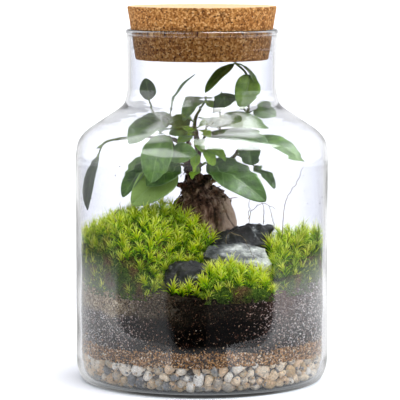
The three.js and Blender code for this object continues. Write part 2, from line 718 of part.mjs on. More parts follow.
const underBlade = 0.14; // share of a blade's length that its stalk runs on beneath it
shoots.forEach((shoot, i) => {
  const parts = [stem(shoot.twig, shoot.radii, 4, 1)];
  for (const one of shoot.leaves) {
    parts.push(blade(one));
    const [base, tip] = [toVec(one.base), toVec(one.tip)];
    const rise = underBlade * Math.PI * (one.arch ?? usualArch) * tip.distanceTo(base);
    const end = base.clone().lerp(tip, underBlade).addScaledVector(toVec(one.face).normalize(), rise);
    parts.push(stem([one.from, one.base, end.toArray()], [stalkRadius, stalkRadius, 0.5], 4, 1));
  }
  addPiece(`ficus_shoot_${i + 1}`, largest(joined(parts).subtract(trunkSpace)), leaf);
});

export default terrarium;
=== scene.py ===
import itertools
import math

import bmesh
import bpy
import numpy as np
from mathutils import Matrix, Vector
from mathutils.bvhtree import BVHTree


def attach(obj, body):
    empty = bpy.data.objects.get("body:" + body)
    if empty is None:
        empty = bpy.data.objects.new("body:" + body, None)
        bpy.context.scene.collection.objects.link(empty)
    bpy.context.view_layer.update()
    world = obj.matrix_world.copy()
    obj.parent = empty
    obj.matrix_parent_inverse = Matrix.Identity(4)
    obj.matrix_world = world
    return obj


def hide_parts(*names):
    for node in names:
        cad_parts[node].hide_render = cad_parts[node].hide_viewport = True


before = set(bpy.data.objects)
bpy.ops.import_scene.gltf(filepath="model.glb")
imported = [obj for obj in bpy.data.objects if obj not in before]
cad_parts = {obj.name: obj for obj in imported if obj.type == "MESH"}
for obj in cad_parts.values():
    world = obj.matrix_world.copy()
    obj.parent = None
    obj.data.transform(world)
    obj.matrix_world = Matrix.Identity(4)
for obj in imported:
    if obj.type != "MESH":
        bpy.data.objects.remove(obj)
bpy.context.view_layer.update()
print("terrarium: frame loaded")

# All lengths below are millimetres. place() turns them into metres.
jar = dict(
    bodyRadius=97.5, bodyTop=173, neckBase=224, height=270.5, wall=3, floor=3.8, footRadius=89.5,
    footHeight=18, neckRadius=57.5, lipRadius=58.4, lipRoll=(2, 2.4), mouthRadius=54.8, seat=268,
    cornerWidth=5.5, cornerHeight=20, sides=220, waviness=0.16,
)


# Colours, nodes and materials

def hexColour(code):
    # sRGB hex to linear
    values = [int(code[i:i + 2], 16) / 255 for i in (1, 3, 5)]
    return (*[v / 12.92 if v <= 0.04045 else ((v + 0.055) / 1.055) ** 2.4 for v in values], 1)


def perSize(millimetres):
    # texture scale that gives details of this size on object coordinates in metres
    return 1000 / millimetres


def connect(tree, node, inputs):
    # an input is a value, a colour code, a socket, or a node for its first output in use
    for key, value in inputs.items():
        if isinstance(value, bpy.types.Node):
            value = next(socket for socket in value.outputs if socket.enabled)
        if isinstance(value, bpy.types.NodeSocket):
            tree.links.new(value, node.inputs[key])
        else:
            node.inputs[key].default_value = hexColour(value) if isinstance(value, str) else value


def add(tree, kind, *inputs, named=None, stops=(), **settings):
    # one node with its settings, colour stops and links; inputs fill the sockets in use, in their order
    node = tree.nodes.new("ShaderNode" + kind)
    for key, value in settings.items():
        setattr(node, key, value)
    elements = node.color_ramp.elements if stops else ()
    while len(elements) < len(stops):
        elements.new(0.5)
    for element, (position, colour) in zip(elements, stops):
        element.position = position
        element.color = hexColour(colour) if isinstance(colour, str) else (colour, colour, colour, 1)
    inUse = [i for i, socket in enumerate(node.inputs) if socket.enabled]
    connect(tree, node, dict(zip(inUse, inputs)))
    connect(tree, node, named or {})
    return node


def newMaterial(name, surface):
    material = bpy.data.materials.new(name)
    material.use_nodes = True
    tree = material.node_tree
    shader = tree.nodes["Principled BSDF"]
    connect(tree, shader, surface)
    return material, tree, shader


# Shapes

def softNoise(points, size, seed, octaves=1):
    # smooth random values from -1 to 1 that change over about size millimetres
    total = np.zeros(len(points))
    for octave in range(octaves):
        q = np.asarray(points) * 2 ** octave / size + 7.31 * seed + 3.7 * octave
        cell = np.floor(q).astype(np.int64)
        t = q - cell
        t = t * t * (3 - 2 * t)
        for corner in itertools.product((0, 1), repeat=3):
            c = cell + corner
            h = (c[:, 0] * 73856093) ^ (c[:, 1] * 19349663) ^ (c[:, 2] * 83492791)
            h = (h ^ (h >> 13)) * 1274126177
            h = (h ^ (h >> 16)) & 0xffff
            weight = np.prod(np.where(np.array(corner, bool), t, 1 - t), axis=1)
            total += weight * (h / 32767.5 - 1) / 2 ** octave
    return total


def place(name, points, faces, materials, replaces, values=None, faceMaterials=None, uv=None):
    # makes a piece of the part from points in millimetres
    mesh = bpy.data.meshes.new(name)
    mesh.from_pydata((np.asarray(points) * 0.001).tolist(), [], faces)
    for key, numbers in (values or {}).items():
        mesh.attributes.new(key, "FLOAT", "POINT").data.foreach_set("value", np.asarray(numbers, np.float32))
    if uv is not None:
        corners = np.empty(len(mesh.loops), np.int32)
        mesh.loops.foreach_get("vertex_index", corners)
        layer = mesh.uv_layers.new(name="leafUv")
        layer.uv.foreach_set("vector", np.asarray(uv, np.float32)[corners].ravel())
    mesh.polygons.foreach_set("use_smooth", np.ones(len(mesh.polygons), bool))
    for material in materials:
        mesh.materials.append(material)
    if faceMaterials is not None:
        mesh.polygons.foreach_set("material_index", np.asarray(faceMaterials, np.int32))
    piece = bpy.data.objects.new(name, mesh)
    bpy.context.scene.collection.objects.link(piece)
    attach(piece, "root")
    if replaces:
        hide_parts(*replaces)
    print(f"terrarium: {name}, {len(mesh.polygons)} faces")


def placeHeap(name, heap, material, replaces):
    place(name, heap.allPoints(), heap.faces, [material], replaces, heap.allValues())


class Heap:
    # gathers many small shapes, with their values, into one mesh
    def __init__(self):
        self.points, self.faces, self.values, self.count = [], [], {}, 0

    def put(self, points, faces, **values):
        self.points.append(points)
        self.faces += [tuple(i + self.count for i in face) for face in faces]
        for key, value in values.items():
            self.values.setdefault(key, []).append(np.broadcast_to(value, len(points)))
        self.count += len(points)

    def putCopies(self, shapes, faces, **values):
        # shapes is (copies, points, 3), and each value has one number a copy or one a point
        copies, size = shapes.shape[:2]
        offsets = self.count + size * np.arange(copies)
        for k in sorted({len(f) for f in faces}):
            block = np.array([f for f in faces if len(f) == k])
            self.faces += (offsets[:, None, None] + block[None]).reshape(-1, k).tolist()
        for key, value in values.items():
            value = np.asarray(value, float)
            value = value[:, None] if value.ndim == 1 else value
            self.values.setdefault(key, []).append(np.broadcast_to(value, (copies, size)).ravel())
        self.points.append(shapes.reshape(-1, 3))
        self.count += copies * size

    def allPoints(self):
        return np.concatenate(self.points)

    def allValues(self):
        return {key: np.concatenate(value) for key, value in self.values.items()}


def smoothStep(low, high, x):
    t = np.clip((np.asarray(x, float) - low) / (high - low), 0, 1)
    return t * t * (3 - 2 * t)


def unit(v):
    # a direction, or one in each row
    return v / (np.linalg.norm(v) if np.ndim(v) == 1 else np.linalg.norm(v, axis=1)[:, None])


def aboutAxis(radius, angle, z):
    # points from distances and angles about the jar's axis
    return np.stack([radius * np.cos(angle), radius * np.sin(angle), z], 1)


def heldInside(points, limit):
    # points that would pass this distance from the axis are drawn back to it
    r = np.hypot(points[..., 0], points[..., 1])
    points[..., :2] *= np.minimum(1, limit / np.maximum(r, 1e-6))[..., None]


def ringFaces(rows, sides):
    # four-sided faces between rings of points that lie one on the other
    corners = [(k * sides + i, k * sides + (i + 1) % sides) for k in range(rows - 1) for i in range(sides)]
    return [(a, b, b + sides, a + sides) for a, b in corners]


def ballShape(subdivisions):
    bm = bmesh.new()
    bmesh.ops.create_icosphere(bm, subdivisions=subdivisions, radius=1)
    points = np.array([v.co[:] for v in bm.verts])
    faces = [tuple(v.index for v in f.verts) for f in bm.faces]
    bm.free()
    return points, faces


def turnedShape(profile, sides):
    # a lathe shape about Z from [radius, height]; points on the axis become one point
    points, rings = [], []
    angles = np.linspace(0, 2 * math.pi, sides, endpoint=False)
    for r, z in profile:
        start = len(points)
        if r < 1e-6:
            points.append((0, 0, z))
            rings.append([start] * sides)
        else:
            points += [(r * math.cos(a), r * math.sin(a), z) for a in angles]
            rings.append(list(range(start, start + sides)))
    faces = []
    for low, high in zip(rings, rings[1:]):
        for i in range(sides):
            j = (i + 1) % sides
            face = [low[i], low[j], high[j], high[i]]
            face = [v for k, v in enumerate(face) if v not in face[:k]]
            if len(face) > 2:
                faces.append(tuple(face))
    return np.array(points), faces


def smoothThrough(points, each):
    # a Catmull-Rom curve through the points
    p = np.array(points, float)
    p = np.vstack([2 * p[0] - p[1], p, 2 * p[-1] - p[-2]])
    made = []
    for i in range(1, len(p) - 2):
        a, b, c, d = p[i - 1:i + 3]
        for k in range(each):
            t = k / each
            square, cube = 2 * a - 5 * b + 4 * c - d, 3 * b - a - 3 * c + d
            made.append(0.5 * (2 * b + (c - a) * t + square * t ** 2 + cube * t ** 3))
    made.append(p[-2])
    return np.array(made)


def ellipseArc(cx, cz, rx, rz, start, end, steps):
    angles = np.radians(np.linspace(start, end, steps + 1))
    return [(cx + rx * math.cos(a), cz + rz * math.sin(a)) for a in angles]


def stemShape(points, radii, sides, each, swell=0.0, seed=0):
    # a tapering round stem; returns points, faces and the share of its length at each point
    path = smoothThrough(points, each)
    steps = len(path)
    size = np.interp(np.linspace(0, len(radii) - 1, steps), range(len(radii)), radii)
    size = size * (1 + swell * softNoise(path, 3.5, seed))
    ahead = unit(np.gradient(path, axis=0))
    side = np.cross(ahead[0], (0.31, 0.52, 0.8))
    rings, along = [], []
    for k in range(steps):
        side = unit(side - side.dot(ahead[k]) * ahead[k])
        other = np.cross(ahead[k], side)
        for s in range(sides):
            a = 2 * math.pi * s / sides
            rings.append(path[k] + size[k] * (side * math.cos(a) + other * math.sin(a)))
            along.append(k / (steps - 1))
    faces = ringFaces(steps, sides)
    rings += [path[0], path[-1]]
    along += [0, 1]
    last = (steps - 1) * sides
    for s in range(sides):
        t = (s + 1) % sides
        faces.append((steps * sides, t, s))
        faces.append((steps * sides + 1, last + s, last + t))
    return np.array(rings), faces, np.array(along)


# Glass: blown soda-lime glass. Clear, with slow waves that bend the reflections and a grey-green tint in
# thick parts. The lowest millimetres of the foot are painted near black, a painted shadow of the contact.

def blownGlass():
    material, tree, shader = newMaterial("blown soda-lime glass", {
        "Roughness": 0.0, "IOR": 1.5, "Transmission Weight": 1.0,
    })
    place3d = add(tree, "TexCoord").outputs["Object"]
    waves = add(tree, "TexNoise", place3d, perSize(28), 1.5)
    seeds = add(tree, "TexNoise", place3d, perSize(3), 2)
    spots = add(tree, "MapRange", seeds, 0.66, 0.8, 0, 0.25)
    relief = add(tree, "Math", waves, spots, operation="ADD")
    bump = add(tree, "Bump", named={"Height": relief, "Strength": 0.05, "Distance": 0.001})
    # the thick foot looks greyer, and its lowest 2 mm are painted near black as a painted shadow of the
    # contact
    height = add(tree, "SeparateXYZ", place3d).outputs["Z"]
    foot = add(tree, "ValToRGB", height, stops=[
        (0.0012, "#343a3f"), (0.0024, "#8b9298"), (0.0044, "#d9dde1"), (0.009, "#f1f2f5"),
    ])
    connect(tree, shader, {"Normal": bump, "Base Color": foot})
    # lamps shine through without caustics
    path = add(tree, "LightPath")
    clear = add(tree, "BsdfTransparent", named={"Color": "#f4f8f8"})
    mix = add(tree, "MixShader", path.outputs["Is Shadow Ray"], shader.outputs[0], clear)
    connect(tree, tree.nodes["Material Output"], {"Surface": mix})
    return material


def makeJar():
    body, neck, mouth, top = (jar[k] for k in ("bodyRadius", "neckRadius", "mouthRadius", "height"))
    foot, footTop, lipAcross, lipUp = jar["footRadius"], jar["footHeight"], *jar["lipRoll"]
    ground, corner, cornerTop = jar["floor"], jar["cornerWidth"], jar["cornerHeight"]
    wallIn = body - jar["wall"]
    shoulder = [
        (neck, jar["neckBase"]), (neck + 1.2, 217), (neck + 5, 210.5), (neck + 22, 199), (body - 7.5, 191.5),
        (body - 2, 184), (body, jar["bodyTop"]),
    ]
    bowed = smoothThrough([(neck, 230), *shoulder, (body, 167)], 7)
    inner = smoothThrough([
        (mouth, 230), (mouth, jar["neckBase"]), *[(r - 2.85, z - 0.6) for r, z in shoulder[1:-1]],
        (wallIn, jar["bodyTop"] - 1), (wallIn, 165),
    ], 7)
    straight = [(body, z) for z in np.linspace(footTop, 167, 30)[1:-1]]
    straightIn = [(wallIn, z) for z in np.linspace(165, 24, 28)[1:-1]]
    outside = [
        (0, 1.5), (30, 1.5), (60, 1.5), (73, 1.5), (76, 1.4), (78.3, 0.9), (80, 0.25), (81.4, 0), (85, 0),
        (88.6, 0), *ellipseArc(foot, footTop, body - foot, footTop, -86, 0, 18), *straight, *bowed[::-1],
        (neck, 240), (neck, 252), (neck, top - 7.5), (neck + 0.15, top - 6),
        *ellipseArc(jar["lipRadius"] - lipAcross, top - lipUp, lipAcross, lipUp, -58, 90, 12),
    ]
    inside = [
        (mouth + 0.9, top - 0.2), (mouth + 0.3, top - 1.2), (mouth, jar["seat"] - 1), (mouth, 256),
        (mouth, 243), *inner, *straightIn,
        *ellipseArc(wallIn - corner, cornerTop, corner, cornerTop - ground, 0, -90, 16),
        (70, ground), (40, ground), (0, ground),
    ]
    points, faces = turnedShape(outside + inside, jar["sides"])
    # the wall's slow waves, none at the foot, the mouth and the widest line of the box
    radius = np.hypot(points[:, 0], points[:, 1])
    height = points[:, 2]
    free = smoothStep(20, 45, height) * (1 - smoothStep(238, 250, height))
    deep = radius < np.interp(height, [0, 173, 199, 224], [96, 96, 77.5, 56])
    wave = np.where(deep, softNoise(points, 38, 3, 2), softNoise(points, 55, 9, 2))
    shift = jar["waviness"] * free * (wave - 0.9 * ~deep)
    out = points[:, :2] / np.maximum(radius, 1e-6)[:, None]
    points[:, :2] += out * shift[:, None]
    place("glass_jar_blown", points, faces, [blownGlass()], ["glass_jar"])


makeJar()

# Stopper: pressed cork granules. Golden brown, matt, with dark flecks and small pits.

cork = dict(bottom=247, top=288, bottomRadius=51, topRadius=57.5, edge=1.3, granule=1.35, pit=0.45)


def pressedCork():
    material, tree, shader = newMaterial("pressed cork", {
        "Roughness": 0.85, "IOR": 1.45, "Specular IOR Level": 0.3,
    })
    place3d = add(tree, "TexCoord").outputs["Object"]
    drift = add(tree, "TexNoise", place3d, perSize(2.2), 2)
    bent = add(tree, "Mix", 0.0016, place3d, drift.outputs["Color"], data_type="RGBA", blend_type="ADD")
    bits = add(tree, "TexVoronoi", bent, perSize(cork["granule"]))
    small = add(tree, "TexVoronoi", bent, perSize(1.0))
    shade = add(tree, "SeparateColor", bits.outputs["Color"])
    shadeSmall, fleckPick, _ = add(tree, "SeparateColor", small.outputs["Color"]).outputs
    both = add(tree, "Mix", 0.4, shade, shadeSmall, data_type="FLOAT")
    tone = add(tree, "ValToRGB", both, stops=[
        (0.0, "#55300f"), (0.2, "#804d1e"), (0.45, "#a66d32"), (0.7, "#ca914f"), (1.0, "#f0c688"),
    ])
    grain = add(tree, "TexNoise", place3d, perSize(0.9), 4, 0.7)
    mottle = add(tree, "MapRange", grain, 0.3, 0.7, 0.72, 1.14)
    toned = add(tree, "VectorMath", tone, mottle, operation="MULTIPLY")
    fleck = add(tree, "ValToRGB", fleckPick, stops=[(0.0, 1.0), (0.055, 1.0), (0.08, 0.0)])
    # painted shade: the pits are painted the same dark brown as the cork's own flecks
    pits = add(tree, "Attribute", attribute_name="pit").outputs["Fac"]
    dark = add(tree, "Math", fleck, pits, operation="MAXIMUM")
    flecked = add(tree, "Mix", dark, toned, "#4a2712", data_type="RGBA")
    # painted light: the top is painted paler, as if lit strongly from above
    facing = add(tree, "SeparateXYZ", add(tree, "TexCoord").outputs["Normal"]).outputs["Z"]
    paintedTopLight = add(tree, "MapRange", facing, 0.85, 1.0, 0, 0.5)
    colour = add(tree, "Mix", paintedTopLight, flecked, "#ffe7be", data_type="RGBA")
    gap = add(tree, "TexVoronoi", bent, perSize(cork["granule"]), feature="DISTANCE_TO_EDGE")
    seam = add(tree, "MapRange", gap, 0, 0.08)
    height = add(tree, "Math", seam, grain, operation="ADD")
    bump = add(tree, "Bump", named={"Height": height, "Strength": 0.5, "Distance": 0.0004})
    connect(tree, shader, {"Base Color": colour, "Normal": bump})
    return material


def makeStopper():
    low, high, small, large, e = (cork[k] for k in ("bottom", "top", "bottomRadius", "topRadius", "edge"))
    slope = (large - small) / (high - low)
    profile = [(r, low) for r in np.linspace(0, small - e - 0.4, 26)]
    lower, upper = np.radians([25, 50, 75]), np.radians([15, 40, 65])
    profile += [(small - e + e * math.sin(a), low + e - e * math.cos(a)) for a in lower]
    profile += [(small + slope * (z - low), z) for z in np.linspace(low + e + 0.3, high - e - 0.3, 46)]
    profile += [(large - e - 0.2 + e * math.cos(a), high - e + e * math.sin(a)) for a in upper]
    profile += [(r, high) for r in np.linspace(large - e - 0.4, 0, 52)]
    points, faces = turnedShape(profile, 300)
    radius = np.hypot(points[:, 0], points[:, 1])
    onSide = (points[:, 2] > low + 0.6) & (points[:, 2] < high - 0.6)
    inward = np.where(onSide[:, None], -points * (1, 1, 0) / np.maximum(radius, 1)[:, None], 0)
    inward[~onSide, 2] = np.where(points[~onSide, 2] > 260, -1, 1)
    # shallow relief of the granules, and deeper pits where one has broken out
    relief = 0.11 + 0.11 * softNoise(points, 2.4, 4) + 0.05 * softNoise(points, 1.1, 6)
    hole = smoothStep(0.55, 0.75, softNoise(points, 2.2, 12)) * (0.6 + 0.4 * softNoise(points, 9, 2))
    rim = (points[:, 2] > high - 1.6) & (radius > 54.5)
    chips = smoothStep(0.25, 0.6, softNoise(points, 4.5, 21)) * rim
    points += inward * (relief + cork["pit"] * hole + 0.5 * chips)[:, None]
    # how deep each pit is, for its painted shade
    values = {"pit": hole * 0.9}
    place("cork_stopper_pressed", points, faces, [pressedCork()], ["cork_stopper"], values)


makeStopper()

# Layers: river gravel, grit and potting soil. Their tops are gently uneven.


def uneven(x, y, seed):
    return np.sin(x / 17 + seed) * np.cos(y / 21 - seed) + 0.5 * np.sin((x + y) / 11 + seed)


def gravelTopAt(x, y):
    return 24.5 + 0.8 * uneven(x, y, 1)


def gritTopAt(x, y):
    return 34.5 + 1.1 * uneven(x, y, 2.6)


def hill(x, y, cx, cy, sx, sy):
    return np.exp(-((x - cx) / sx) ** 2 - ((y - cy) / sy) ** 2)


def soilTopAt(x, y):
    return (75 + 30 * hill(x, y, -24, 2, 48, 44) + 14 * hill(x, y, 14, 6, 34, 36)
            + 14 * hill(x, y, 26, -28, 32, 26) + 20 * hill(x, y, 66, -2, 24, 44) + 0.8 * uneven(x, y, 0.4))


def cornerRadiusAt(z, room):
    # the inside of the glass, round its lower corner
    t = np.clip((jar["cornerHeight"] - np.asarray(z, float)) / (jar["cornerHeight"] - jar["floor"]), 0, 1)
    return jar["bodyRadius"] - jar["wall"] - jar["cornerWidth"] * (1 - np.sqrt(1 - t ** 2)) - room


def ragged(top, coarse, fine):
    # a layer's top edge as it shows against the glass; each wave has a height, a size and a seed
    def heightAt(x, y):
        p = np.stack([x, y, 0 * x], -1).reshape(-1, 3)
        waves = coarse[0] * softNoise(p, *coarse[1:]) + fine[0] * softNoise(p, *fine[1:])
        return top(x, y) + waves.reshape(np.shape(x))
    return heightAt


raggedGritTop = ragged(gritTopAt, (1.5, 13, 5), (0.9, 4.5, 6))
raggedGravelTop = ragged(gravelTopAt, (1.6, 15, 8), (0.7, 5, 9))


def stoneShading(name, tones, roughness, speckle, patchy, dotted):
    # stones share one layout: a tone for each stone, cloudy patches, grains 1 mm across and fine speckle
    material, tree, shader = newMaterial(name, {"Roughness": roughness})
    place3d = add(tree, "TexCoord").outputs["Object"]
    tint = add(tree, "Attribute", attribute_name="tint").outputs["Fac"]
    cloud = add(tree, "TexNoise", place3d, perSize(4), 4)
    pushed = add(tree, "Math", cloud, patchy, -patchy / 2, operation="MULTIPLY_ADD")
    shifted = add(tree, "Math", tint, pushed, operation="ADD")
    grains = add(tree, "TexVoronoi", place3d, perSize(1.0))
    pick = add(tree, "SeparateColor", grains.outputs["Color"])
    dotting = add(tree, "Math", pick, dotted, -dotted / 2, operation="MULTIPLY_ADD")
    spotted = add(tree, "Math", shifted, dotting, operation="ADD")
    tone = add(tree, "ValToRGB", spotted, stops=tones)
    fine = add(tree, "TexNoise", place3d, perSize(speckle), 3, 0.75)
    dots = add(tree, "MapRange", fine, 0.32, 0.68, 0.6, 1.3)
    colour = add(tree, "VectorMath", tone, dots, operation="MULTIPLY")
    bump = add(tree, "Bump", named={"Height": fine, "Strength": 0.6, "Distance": 0.0005})
    connect(tree, shader, {"Base Color": colour, "Normal": bump})
    return material


def scatterGrains(heap, spots, sizes, tints, roll, flat=0.75):
    # angular little grains, each one turned and stretched its own way
    ball, faces = ballShape(1)
    count = len(spots)
    corners = ball[None] * (1 + 0.28 * roll.standard_normal((count, len(ball), 1))).clip(0.55, 1.4)
    corners = corners * roll.uniform(flat, 1.15, (count, 1, 3))
    heap.putCopies(spots[:, None] + corners * sizes[:, None, None], faces, tint=tints)


gravel = dict(radius=(2.2, 5.9), thickness=3.8, gap=0.75, tries=14000, bits=2800, seed=17)


def makeGravel():
    # Pebbles lie against the glass all round and on the floor. Each one fills its own cell between its
    # neighbours, so they touch almost everywhere and leave narrow dark gaps.
    roll = np.random.default_rng(gravel["seed"])
    corner = (jar["bodyRadius"] - jar["wall"] - jar["cornerWidth"], jar["cornerHeight"],
              jar["cornerWidth"] - 0.2, jar["cornerHeight"] - jar["floor"] - 0.3)
    outline = np.array([(94.2, 28), (94.3, 24), *ellipseArc(*corner, 0, -90, 24)]
                       + [(r, jar["floor"] + 0.35) for r in np.linspace(84, 0, 30)])
    lengths = np.concatenate([[0], np.cumsum(np.linalg.norm(np.diff(outline, axis=0), axis=1))])

    def onOutline(w):
        return np.array([np.interp(w, lengths, outline[:, k]) for k in (0, 1)])

    small, large = gravel["radius"]
    centres, normals, radii = [], [], []
    for attempt in range(gravel["tries"]):
        w = roll.uniform(0, lengths[-1])
        r, z = onOutline(w)
        # large ones first, and small ones between them
        size = small + (large - small) * roll.random() ** (1.4 if attempt > 3000 else 0.5)
        angle = roll.uniform(0, 2 * math.pi)
        spot = np.array([r * math.cos(angle), r * math.sin(angle), z])
        if roll.random() > r / 94 or z > raggedGravelTop(spot[0], spot[1]) + 0.6 - 0.4 * size:
            continue
        if centres:
            space = np.linalg.norm(np.array(centres) - spot, axis=1) - 0.86 * (np.array(radii) + size)
            if space.min() < (0 if r > 80 else 1.2):
                continue
        ahead = unit(onOutline(w + 0.5) - onOutline(w - 0.5))
        centres.append(spot)
        radii.append(size)
        normals.append(np.array([-ahead[1] * math.cos(angle), -ahead[1] * math.sin(angle), ahead[0]]))
    centres, normals, radii = np.array(centres), np.array(normals), np.array(radii)
    fine, coarse = ballShape(3), ballShape(2)
    heap = Heap()
    for i, (spot, normal) in enumerate(zip(centres, normals)):
        shown = math.hypot(spot[0], spot[1]) > 80
        ball, faces = fine if shown else coarse
        side = unit(np.cross(normal, (0, 0, 1) if abs(normal[2]) < 0.9 else (1, 0, 0)))
        up = np.cross(normal, side)
        around = centres - spot
        near = (np.linalg.norm(around, axis=1) < 19) & (np.arange(len(centres)) != i)
        flat = np.stack([around[near] @ side, around[near] @ up], axis=1)
        distance = np.linalg.norm(flat, axis=1)
        share = np.linalg.norm(ball[:, :2], axis=1)
        towards = ball[:, :2] / np.maximum(share, 1e-6)[:, None]
        # how far the cell reaches each way: its share of the way to each neighbour, with rounded corners
        facing = (towards @ (flat / distance[:, None]).T).clip(0.02, 1)
        border = distance * radii[i] / (radii[i] + radii[near]) - gravel["gap"] / 2
        reach = ((facing / np.maximum(border, 0.6)) ** 5).sum(axis=1) ** (-1 / 5)
        reach = np.minimum(reach * 1.07, 1.35 * radii[i])
        thick = gravel["thickness"] * (0.6 + 0.4 * radii[i] / large)
        # river stones are longer one way than the other
        lie = roll.uniform(0, math.pi)
        longer = 0.98 + 0.1 * np.cos(2 * (np.arctan2(towards[:, 1], towards[:, 0]) - lie))
        stone = towards * (reach * longer * share ** 0.85)[:, None]
        depth = np.sign(ball[:, 2]) * np.abs(ball[:, 2]) ** 0.95 * thick
        shape = (spot - normal * (thick + 0.15) + stone[:, :1] * side + stone[:, 1:] * up
                 + depth[:, None] * normal)
        worn = 0.8 * (1 + softNoise(shape + 31 * i, 4.2, 2)) + 0.2 * softNoise(shape, 1.3, 4)
        shape = shape - normal * worn[:, None]
        # a stone never goes into the glass
        heldInside(shape, cornerRadiusAt(shape[:, 2], 0.25))
        shape[:, 2] = np.maximum(shape[:, 2], jar["floor"] + 0.25)
        # painted light: the stones are paler towards the right, where more light falls
        least = 0.1 + 0.24 * smoothStep(20, 75, spot[0])
        heap.put(shape, faces, tint=least + (1 - least) * roll.random())
    # the core that shows in the gaps, with small bits of stone on it; it takes the darkest tone as painted
    # shade between the pebbles
    profile = [(0, 5.8), (40, 5.8), (78, 5.8), (85, 6.9), (88.8, 10.5), (90.8, 16), (91.2, 23.8), (60, 24)]
    core, coreFaces = turnedShape(profile + [(0, 24)], 160)
    core = core + softNoise(core, 3, 5)[:, None] * 0.4 * np.sign(core)
    heap.put(core, coreFaces, tint=0.0)
    angle = roll.uniform(0, 2 * math.pi, gravel["bits"])
    way = roll.uniform(0, 40, gravel["bits"])
    r, z = (np.interp(way, lengths, outline[:, k]) for k in (0, 1))
    size = 0.5 + 1.3 * roll.random(gravel["bits"]) ** 2
    inward = roll.uniform(0.5, 2.2, gravel["bits"]) + size
    spots = aboutAxis(r - inward, angle, np.maximum(z, 7))
    shown = spots[:, 2] < raggedGravelTop(spots[:, 0], spots[:, 1]) - 1
    scatterGrains(heap, spots[shown], size[shown], 0.04 + 0.5 * roll.random(shown.sum()), roll)
    tones = [
        (0.0, "#3d3027"), (0.06, "#6d6a68"), (0.14, "#8f9296"), (0.24, "#b9b4a8"), (0.34, "#c7a878"),
        (0.45, "#eac7a0"), (0.56, "#f8e3c4"), (0.66, "#b4aea5"), (0.76, "#ecd0a8"), (0.88, "#f7e7cd"),
        (0.98, "#fdf8ee"),
    ]
    material = stoneShading("washed river gravel", tones, 0.55, 1.3, 0.26, 0.08)
    placeHeap("gravel_pebbles", heap, material, ["gravel_bed"])


makeGravel()

grit = dict(radius=93.1, grainsTo=93.75, grains=8000, small=0.4, large=1.0, seed=23)


def makeGrit():
    roll = np.random.default_rng(grit["seed"])
    sides = 420
    angles = np.linspace(0, 2 * math.pi, sides, endpoint=False)
    rows = np.linspace(0, 1, 9)
    heap = Heap()
    points = []
    for t in rows:
        x, y = grit["radius"] * np.cos(angles), grit["radius"] * np.sin(angles)
        low, high = raggedGravelTop(x, y) - 1.5, raggedGritTop(x, y) + 0.3
        points += np.stack([x, y, low + (high - low) * t], 1).tolist()
    ends = [tuple(range(sides))[::-1], tuple(range((len(rows) - 1) * sides, len(rows) * sides))]
    faces = ringFaces(len(rows), sides) + ends
    points = np.array(points)
    points[:, :2] *= 1 + 0.006 * softNoise(points, 1.6, 3)[:, None]
    heap.put(points, faces, tint=0.34)
    count = grit["grains"]
    angle = roll.uniform(0, 2 * math.pi, count)
    size = roll.uniform(grit["small"], grit["large"], count) * (1 + 0.5 * (roll.random(count) > 0.93))
    share = roll.uniform(-0.06, 1.04, count)
    share = share + 0.35 * np.abs(roll.standard_normal(count)) * (roll.random(count) > 0.8)
    r = grit["grainsTo"] - size - roll.uniform(0, 0.5, count)
    x, y = r * np.cos(angle), r * np.sin(angle)
    low, high = raggedGravelTop(x, y) - 0.6, raggedGritTop(x, y)
    z = low + (high - low) * share
    # painted light and shade: the grains are paler at the right, where more light falls, and darkest in the
    # middle of the front
    shift = 0.16 * smoothStep(10, 70, x) - 0.1 * (1 - smoothStep(10, 45, np.abs(x)))
    scatterGrains(heap, np.stack([x, y, z], 1), size, (roll.random(count) + shift).clip(0, 1), roll)
    tones = [
        (0.0, "#080402"), (0.2, "#2c1808"), (0.34, "#6b4010"), (0.5, "#a86e24"), (0.68, "#d39a50"),
        (0.84, "#c39c7e"), (0.96, "#d9b988"), (1.06, "#f4e9d6"),
    ]
    material = stoneShading("crushed orange grit", tones, 0.8, 0.8, 0.45, 0.9)
    placeHeap("grit_grains", heap, material, ["grit_layer"])


makeGrit()

soil = dict(radius=93, crumbsTo=93.7, wallCrumbs=11000, topCrumbs=2600, rust=(60, -66, 72), seed=29)


